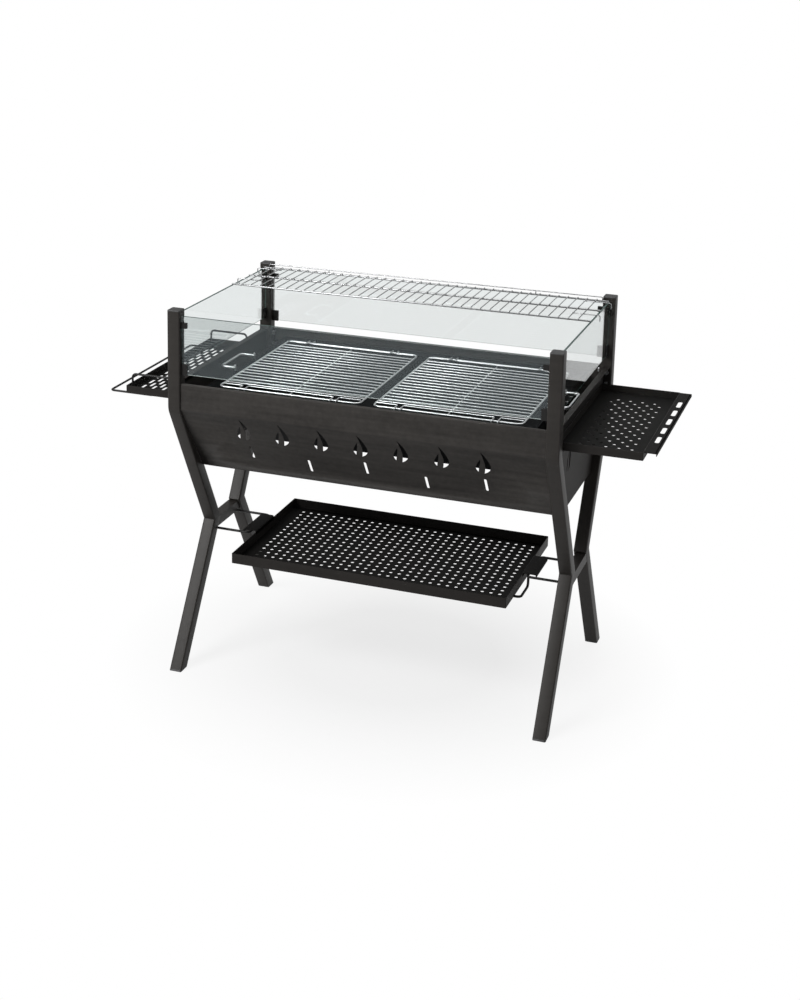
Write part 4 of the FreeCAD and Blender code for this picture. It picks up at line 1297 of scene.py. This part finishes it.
@dataclass
class WarmingRack:
    """The wire rack that lies across the side screens."""

    level: float = 860.3
    rows: tuple[float, ...] = (45.0, 147.0, 240.0)
    half_long: float = 436.0
    long_wire: float = 2.0
    cross_wire: float = 1.2
    crosses: int = 37
    cross_end: float = 408.0
    cross_past: float = 2.0
    weld: Point3 = (1.8, 2.0, 1.0)
    guard_half: float = 420.75
    guard_rise: float = 5.0
    guard_bend: float = 3.0
    pin: float = 261.4
    pin_under: float = 1.5
    hooks: Point2 = (222.0, 100.0)
    hook_x: float = 445.0
    hook_in: float = 28.0
    hook_drop: float = 14.0
    hook_bend: float = 3.5

    def grid(self) -> Shape:
        """Make the long wires, the cross wires and their welds.

        Returns:
            The wires and welds.
        """
        shape = Shape()
        for y in self.rows:
            ends = [(side * self.half_long, y, self.level) for side in (-1, 1)]
            shape.wire(ends, self.long_wire)
        top = self.level + self.long_wire + self.cross_wire
        front, back = self.rows[0] - self.cross_past, self.rows[-1] + self.cross_past
        pitch = 2 * self.cross_end / (self.crosses - 1)
        for i in range(self.crosses):
            x = i * pitch - self.cross_end
            shape.wire([(x, front, top), (x, back, top)], self.cross_wire)
            for y in self.rows:
                shape.bead((x, y, top - self.cross_wire), self.weld)
        return shape

    def guard(self) -> Shape:
        """Make the raised wire behind the rack with its pins.

        Returns:
            The wires.
        """
        y = self.rows[-1]
        low = self.level + self.long_wire
        high = low + 2 * self.cross_wire + self.guard_rise
        points = hoop(-self.guard_half, self.guard_half, y, low, high)
        shape = Shape().wire(points, self.cross_wire, self.guard_bend)
        for x in (-self.pin, self.pin):
            shape.wire([(x, y, low), (x, y, high - self.pin_under)], self.cross_wire)
        return shape

    def hook_wires(self) -> Shape:
        """Make the wires that reach over the side screens and turn down.

        Returns:
            The wires.
        """
        shape = Shape()
        start, end = self.cross_end - self.hook_in, self.hook_x
        level = self.level + self.long_wire - self.cross_wire
        for y in self.hooks:
            points = [(start, y, level), (end, y, level), (end, y, level - self.hook_drop)]
            shape.wire(points, self.cross_wire, self.hook_bend)
        return shape.copied(SAME, FLIP_X)

    def build(self) -> None:
        """Make the rack's pieces."""
        self.grid().piece("rack_grid", CHROME_PAINTED_DARK_REFLECTION, Body.RACK, "warming_rack")
        self.guard().piece("rack_back_wire", CHROME_PAINTED_DARK_REFLECTION, Body.RACK, "warming_rack_guard")
        self.hook_wires().piece("rack_hook_wires", CHROME_PAINTED_DARK_REFLECTION, Body.RACK, "warming_rack_hooks")


# The shelves


@dataclass
class Tray:
    """A folded sheet tray: its floor, its walls and the tongues that hang it."""

    body: Body
    low: float
    high: float
    half_wide: float
    floor: float
    wall: float
    tongue_x: float | None = None
    tongue_y: float = 140.0
    tongue_half: float = 10.0
    tongue_drop: float = 30.0
    corner: float = 1.4
    # The walls' tops from outside to inside: how far down, and shares of the sheet outwards.
    rim: tuple[Point2, ...] = ((0.25, 0.5), (0.0, 0.2), (0.0, -0.2), (0.25, -0.5))

    def floor_sheet(self, holes: Iterable[Outline]) -> Shape:
        """The floor with its holes."""
        edge = oblong(
            (self.low + SHEET, SHEET - self.half_wide), (self.high - SHEET, self.half_wide - SHEET)
        )
        return Shape().sheet(edge, holes, Matrix.Translation((0, 0, self.floor + SHEET / 2)))

    def walls(self) -> Shape:
        """Make the four walls, with rounded corners and tops, and the tongues.

        Returns:
            The walls.
        """
        half = SHEET / 2
        corners = around(self.low + half, self.high - half, self.half_wide - half, 0)
        line = bent(corners, self.corner, CORNER_STEPS, closed=True)
        top = self.floor + self.wall
        levels = [(self.floor, 0.5), *((top - down, out) for down, out in self.rim)]
        rings = []
        for z, out in (*levels, (self.floor, -0.5)):
            loop = beside(line, UP, -SHEET * out, closed=True)
            rings.append([point + UP * z for point in loop])
        shape = Shape().skin(rings, closed=True)
        if self.tongue_x is not None:
            for y in (-self.tongue_y, self.tongue_y):
                shape.block(
                    (self.tongue_x, self.tongue_x + SHEET),
                    (y - self.tongue_half, y + self.tongue_half),
                    (self.floor - self.tongue_drop, self.floor + SHEET),
                )
        return shape

    def build(self, floor_name: str, holes: Iterable[Outline], walls_name: str) -> None:
        """Make the tray's pieces.

        Args:
            floor_name: The floor's name.
            holes: The outlines of its holes.
            walls_name: The walls' name.
        """
        node = self.body.value
        self.floor_sheet(holes).piece(floor_name, TRAY_PAINTED_SHADE_COAT, self.body, node + "_floor")
        self.walls().piece(walls_name, WALL_COAT, self.body, node + "_rim")


@dataclass
class LeftShelf:
    """The left shelf: a slotted tray with two wire rails and a wire loop."""

    start: float = 431.5
    end: float = 581.0
    half_wide: float = 227.0
    floor: float = 647.0
    wall: float = 18.0
    slot: Point2 = (29.0, 7.0)
    slot_rows: int = 10
    slot_columns: int = 10
    slot_pitch: Point2 = (13.2, 42.0)
    wire: float = 2.5
    rail_y: float = 213.0
    rail_outer: float = 571.0
    rail_inner: float = 470.0
    rail_foot: float = 1.5
    rail_rise: float = 25.0
    loop_reach: float = 47.0
    loop_under: float = 60.0
    loop_gap: float = 0.3
    bend: float = 9.0

    def slots(self) -> list[Outline]:
        """Outline the staggered slots of the floor.

        Returns:
            The outlines.
        """
        middle = -(self.start + self.end) / 2
        holes = []
        for column in range(self.slot_columns):
            x = middle - (column - (self.slot_columns - 1) / 2) * self.slot_pitch[0]
            rows = self.slot_rows - column % 2
            for row in range(rows):
                holes.append(stadium(x, (row - (rows - 1) / 2) * self.slot_pitch[1], *self.slot))
        return holes

    def rail(self) -> Shape:
        """Make a rail.

        Returns:
            The back rail.
        """
        low, high = self.floor + self.rail_foot, self.floor + self.wall + self.rail_rise
        points = hoop(-self.rail_outer, -self.rail_inner, self.rail_y, low, high)
        return Shape().wire(points, self.wire, self.bend)

    def loop(self) -> Shape:
        """Make the wire loop beyond the tray.

        Returns:
            The loop.
        """
        z = self.floor - self.loop_gap - self.wire
        points = around(self.loop_under - self.end, -self.end - self.loop_reach, self.rail_y, z)
        return Shape().wire(points, self.wire, self.bend)

    def build(self) -> None:
        """Make the left shelf's pieces."""
        body = Body.LEFT_SHELF
        tray = Tray(
            body, -self.end, -self.start, self.half_wide, self.floor, self.wall,
            tongue_x=-self.start - SHEET,
        )
        tray.build("slotted_floor", self.slots(), "left_walls")
        for side, place in (("front", FLIP_Y), ("back", SAME)):
            rail = self.rail().copied(place)
            rail.piece("wire_rail_" + side, WIRE_COAT, body, "left_shelf_rail_" + side)
        self.loop().piece("wire_loop", WIRE_COAT, body, "left_shelf_loop")


@dataclass
class RightShelf:
    """The right shelf: a tray with round holes and a ledge with slots for tools."""

    start: float = 431.5
    end: float = 615.0
    half_wide: float = 229.0
    floor: float = 647.0
    wall: float = 18.0
    hole: float = 3.8
    holes_each_way: int = 9
    hole_start: float = 581.0
    hole_pitch: Point2 = (13.9, 40.0)
    hole_stagger: float = 10.0
    ledge: float = 27.0
    ledge_half: float = 226.0
    ledge_turn: float = 1.0
    ledge_lap: float = 4.0
    ledge_hem: float = 6.0
    ledge_bend: float = 1.2
    slot: Point2 = (45.0, 10.0)
    slots: int = 5
    slot_pitch: float = 66.5

    def holes(self) -> list[Outline]:
        """Outline the staggered round holes of the floor.

        Returns:
            The outlines.
        """
        count, (along, across) = self.holes_each_way, self.hole_pitch
        made = []
        for column in range(count):
            shift = self.hole_stagger if column % 2 else -self.hole_stagger
            for row in range(count):
                y = (row - count // 2) * across + shift
                made.append(circle(self.hole_start - column * along, y, self.hole, 16))
        return made

    def tool_ledge(self) -> Shape:
        """Make the slotted flange beyond the end wall, with its hem.

        Returns:
            The ledge.
        """
        top = self.floor + self.wall
        y, middle, edge = self.ledge_half, self.end + self.ledge / 2, self.end + self.ledge
        slots = [
            stadium(middle, (i - self.slots // 2) * self.slot_pitch, *self.slot)
            for i in range(self.slots)
        ]
        place = Matrix.Translation((0, 0, top - SHEET / 2))
        hem = ((edge - self.ledge_lap, -y, top), (edge, -y, top), (edge, -y, top - self.ledge_hem))
        shape = Shape().sheet(oblong((self.end, -y), (edge - self.ledge_turn, y)), slots, place)
        return shape.fold(hem, ALONG_Y, 2 * y, self.ledge_bend)

    def build(self) -> None:
        """Make the right shelf's pieces."""
        body = Body.RIGHT_SHELF
        tray = Tray(
            body, self.start, self.end, self.half_wide, self.floor, self.wall, tongue_x=self.start
        )
        tray.build("pierced_floor", self.holes(), "right_walls")
        self.tool_ledge().piece("slotted_ledge", TRAY_PAINTED_SHADE_COAT, body, "right_shelf_tool_ledge")


@dataclass
class BottomShelf:
    """The bottom shelf on its wire brackets."""

    half_long: float = 329.0
    half_wide: float = 195.0
    floor: float = 255.0
    wall: float = 24.0
    hole: float = 4.2
    hole_counts: tuple[int, int] = (30, 17)
    hole_start: Point2 = (-294.0, -170.0)
    hole_pitch: Point2 = (20.38, 21.25)
    tab_half: float = 55.0
    tab_reach: float = 32.0
    tab_top: float = 283.5
    tab_lap: float = 6.0
    hem: float = 8.0
    wire: float = 3.0
    bend: float = 9.0
    bracket_x: float = 342.0
    bracket_half: float = 62.0
    bracket_z: float = 279.0
    root: float = 448.0
    stay_y: float = 50.0
    stay_front: float = 116.0
    stay_in: float = 299.0
    stay_gap: float = 0.3

    def holes(self) -> list[Outline]:
        """Outline the square grid of round holes.

        Returns:
            The outlines.
        """
        (columns, rows), (x, y) = self.hole_counts, self.hole_start
        along, across = self.hole_pitch
        return [
            circle(x + column * along, y + row * across, self.hole, 12)
            for column in range(columns) for row in range(rows)
        ]

    def tab(self) -> Shape:
        """Make an end tab, folded down at its tip.

        Returns:
            The right end tab.
        """
        root, tip, y = self.half_long - SHEET, self.half_long + self.tab_reach, -self.tab_half
        profile = (
            (root, y, self.floor + self.wall - self.tab_lap), (root, y, self.tab_top),
            (tip, y, self.tab_top), (tip, y, self.tab_top - self.hem),
        )
        return Shape().fold(profile, ALONG_Y, 2 * self.tab_half)

    def bracket(self) -> Shape:
        """The right wire bracket."""
        points = around(self.root, self.bracket_x, self.bracket_half, self.bracket_z)
        return Shape().wire(points, self.wire, self.bend)

    def stay(self) -> Shape:
        """Make a stay, which hangs from a bracket and turns in under the tray.

        Returns:
            The right stay.
        """
        x, near, far = self.bracket_x, -self.stay_y, -self.stay_front
        under = self.floor - self.stay_gap - self.wire
        points = (
            (x, near, self.bracket_z - self.wire), (x, near, under), (x, far, under),
            (self.stay_in, far, under),
        )
        return Shape().wire(points, self.wire, self.bend)

    def build(self) -> None:
        """Make the bottom shelf's pieces."""
        body, long = Body.BOTTOM_SHELF, self.half_long
        tray = Tray(body, -long, long, self.half_wide, self.floor, self.wall)
        tray.build("pierced_base", self.holes(), "base_walls")
        self.tab().copied(SAME, FLIP_X).piece("base_tabs", TRAY_PAINTED_SHADE_COAT, body)
        for side, flip, turn in (("left", FLIP_X, TURNED), ("right", SAME, SAME)):
            for kind, shape in (
                ("bracket_", self.bracket().copied(flip)), ("stay_", self.stay().copied(turn)),
            ):
                part = kind + side
                shape.piece("wire_" + part, WIRE_COAT, Body.STAND, "bottom_" + part)


# The studio


@dataclass
class Lamp:
    """One square soft light that looks at a point."""

    name: str
    place: Point3
    size: float
    power: float
    target: Point3 = (0.0, 0.0, 0.5)

    def build(self) -> None:
        """Make the light."""
        data = bpy.data.lights.new(self.name, "AREA")
        data.shape = "SQUARE"
        data.size = self.size
        data.energy = self.power
        made = bpy.data.objects.new(self.name, data)
        made.location = self.place
        made.rotation_mode = "QUATERNION"
        toward = Vector(self.target) - Vector(self.place)
        made.rotation_quaternion = toward.to_track_quat("-Z", "Y")
        bpy.context.scene.collection.objects.link(made)


@dataclass
class Studio:
    """A pale floor in a white room, soft lights and the camera."""

    world_light: float = 0.32
    ceiling_from: float = 0.06
    ceiling_rate: float = 3.5
    floor_half: float = 7.0
    floor_low: Colour = (0.57, 0.57, 0.57)
    floor_high: Colour = (0.61, 0.61, 0.61)
    floor_near: float = 0.74
    floor_mirrored: float = 0.55
    fade_from: float = 0.25
    fade_rate: float = 2.3
    azimuth: float = math.radians(20.519)
    elevation: float = math.radians(13.147)
    roll: float = math.radians(0.856)
    distance: float = 3.8789
    target: Point3 = (-0.16144, 0.0, 0.9185)
    sensor: float = 36.0
    focal_pixels: float = 1680.1
    frame_pixels: float = 1000.0
    shift: Point2 = (0.065, -0.225)
    farthest: float = 60.0
    lamps: tuple[Lamp, ...] = (
        Lamp("key", (-2.2, -2.8, 3.4), 2.2, 230.0),
        Lamp("fill", (3.4, -1.8, 1.9), 2.2, 3.0),
        Lamp("top", (0.3, 1.0, 4.0), 2.6, 60.0),
    )

    def seen(self, shader: Shader, mirrored: Operand) -> Signal:
        """Tell the rays that show the background.

        Args:
            shader: The shader to tell them in.
            mirrored: How far a mirrored ray counts.

        Returns:
            One where the background is seen, also through glass, and the share where mirrored.
        """
        path = shader.node("ShaderNodeLightPath", {}, {}).outputs
        direct = shader.signal(path["Is Camera Ray"])
        through = shader.signal(path["Is Transmission Ray"])
        return direct.at_least(through).at_least(shader.signal(path["Is Glossy Ray"]) * mirrored)

    def world(self) -> None:
        """The white room: white where it is seen, with a dimmer ceiling in mirrored metal."""
        world = bpy.data.worlds.new("studio")
        bpy.context.scene.world = world
        shader = Shader(world)
        toward = shader.node("ShaderNodeTexCoord", {}, {}).outputs["Generated"]
        height = shader.signal(shader.node("ShaderNodeSeparateXYZ", {}, {0: toward}).outputs[2])
        walls = 1 - ((height - self.ceiling_from) * self.ceiling_rate).clamped()
        strength = self.world_light + self.seen(shader, walls) * (1.0 - self.world_light)
        inputs = {"Color": (1, 1, 1, 1), "Strength": strength}
        shader.finish(shader.node("ShaderNodeBackground", {}, inputs).outputs[0])

    def floor_material(self) -> bpy.types.Material:
        """Make the floor's material: pale round the object and melting into the white room.

        Returns:
            The material.
        """
        shader = Shader(bpy.data.materials.new("floor"))
        place = shader.place()
        length = shader.node("ShaderNodeVectorMath", {"operation": "LENGTH"}, {0: place})
        distance = shader.signal(length.outputs["Value"])
        away = ((distance - self.fade_from) * self.fade_rate).clamped()
        white_share = self.floor_near + away * (1 - self.floor_near)
        dust = shader.noise(place, scale=40.0, detail=4.0)
        matt = shader.principled({
            "Base Color": shader.blend(dust, self.floor_low, self.floor_high),
            "Roughness": 0.6 + dust * 0.1,
            "Specular IOR Level": 0.2,
        })
        white = shader.node("ShaderNodeEmission", {}, {"Color": (1, 1, 1, 1), "Strength": 1.0})
        share = white_share * self.seen(shader, self.floor_mirrored)
        return shader.finish(shader.mix(share, matt, white.outputs[0]))

    def floor(self) -> None:
        """The floor, a plain square."""
        data = bpy.data.meshes.new("floor")
        half = self.floor_half
        data.from_pydata(around(-half, half, half, 0), [], [(0, 1, 2, 3)])
        data.materials.append(self.floor_material())
        made = bpy.data.objects.new("floor", data)
        bpy.context.scene.collection.objects.link(made)

    def camera(self) -> None:
        """The camera, at the photographed angle."""
        ca, sa = math.cos(self.azimuth), math.sin(self.azimuth)
        ce, se = math.cos(self.elevation), math.sin(self.elevation)
        back = Vector((sa * ce, -ca * ce, se))
        right = Vector((ca, sa, 0))
        up = back.cross(right)
        right = right * math.cos(self.roll) + up * math.sin(self.roll)
        data = bpy.data.cameras.new("camera")
        data.sensor_width = self.sensor
        data.lens = self.focal_pixels * self.sensor / self.frame_pixels
        data.shift_x, data.shift_y = self.shift
        data.clip_end = self.farthest
        made = bpy.data.objects.new("camera", data)
        place = Matrix.Translation(Vector(self.target) + back * self.distance)
        made.matrix_world = place @ axes(right, back.cross(right), back)
        bpy.context.scene.collection.objects.link(made)
        bpy.context.scene.camera = made

    def build(self) -> None:
        """Make the studio."""
        self.world()
        self.floor()
        self.camera()
        for lamp in self.lamps:
            lamp.build()
        bpy.context.scene.view_settings.view_transform = "Standard"


def main() -> None:
    """Build the grill's looks and the studio round it."""
    logging.basicConfig(level=logging.INFO)
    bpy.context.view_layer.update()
    stand = Stand()
    for part in (
        stand, Firebox(stand), Pan(), Grate("left", -353.0, Body.LEFT_GRATE),
        Grate("right", 16.0, Body.RIGHT_GRATE), Screens(), WarmingRack(), LeftShelf(),
        RightShelf(), BottomShelf(), Studio(),
    ):
        part.build()


if __name__ == "__main__":
    main()
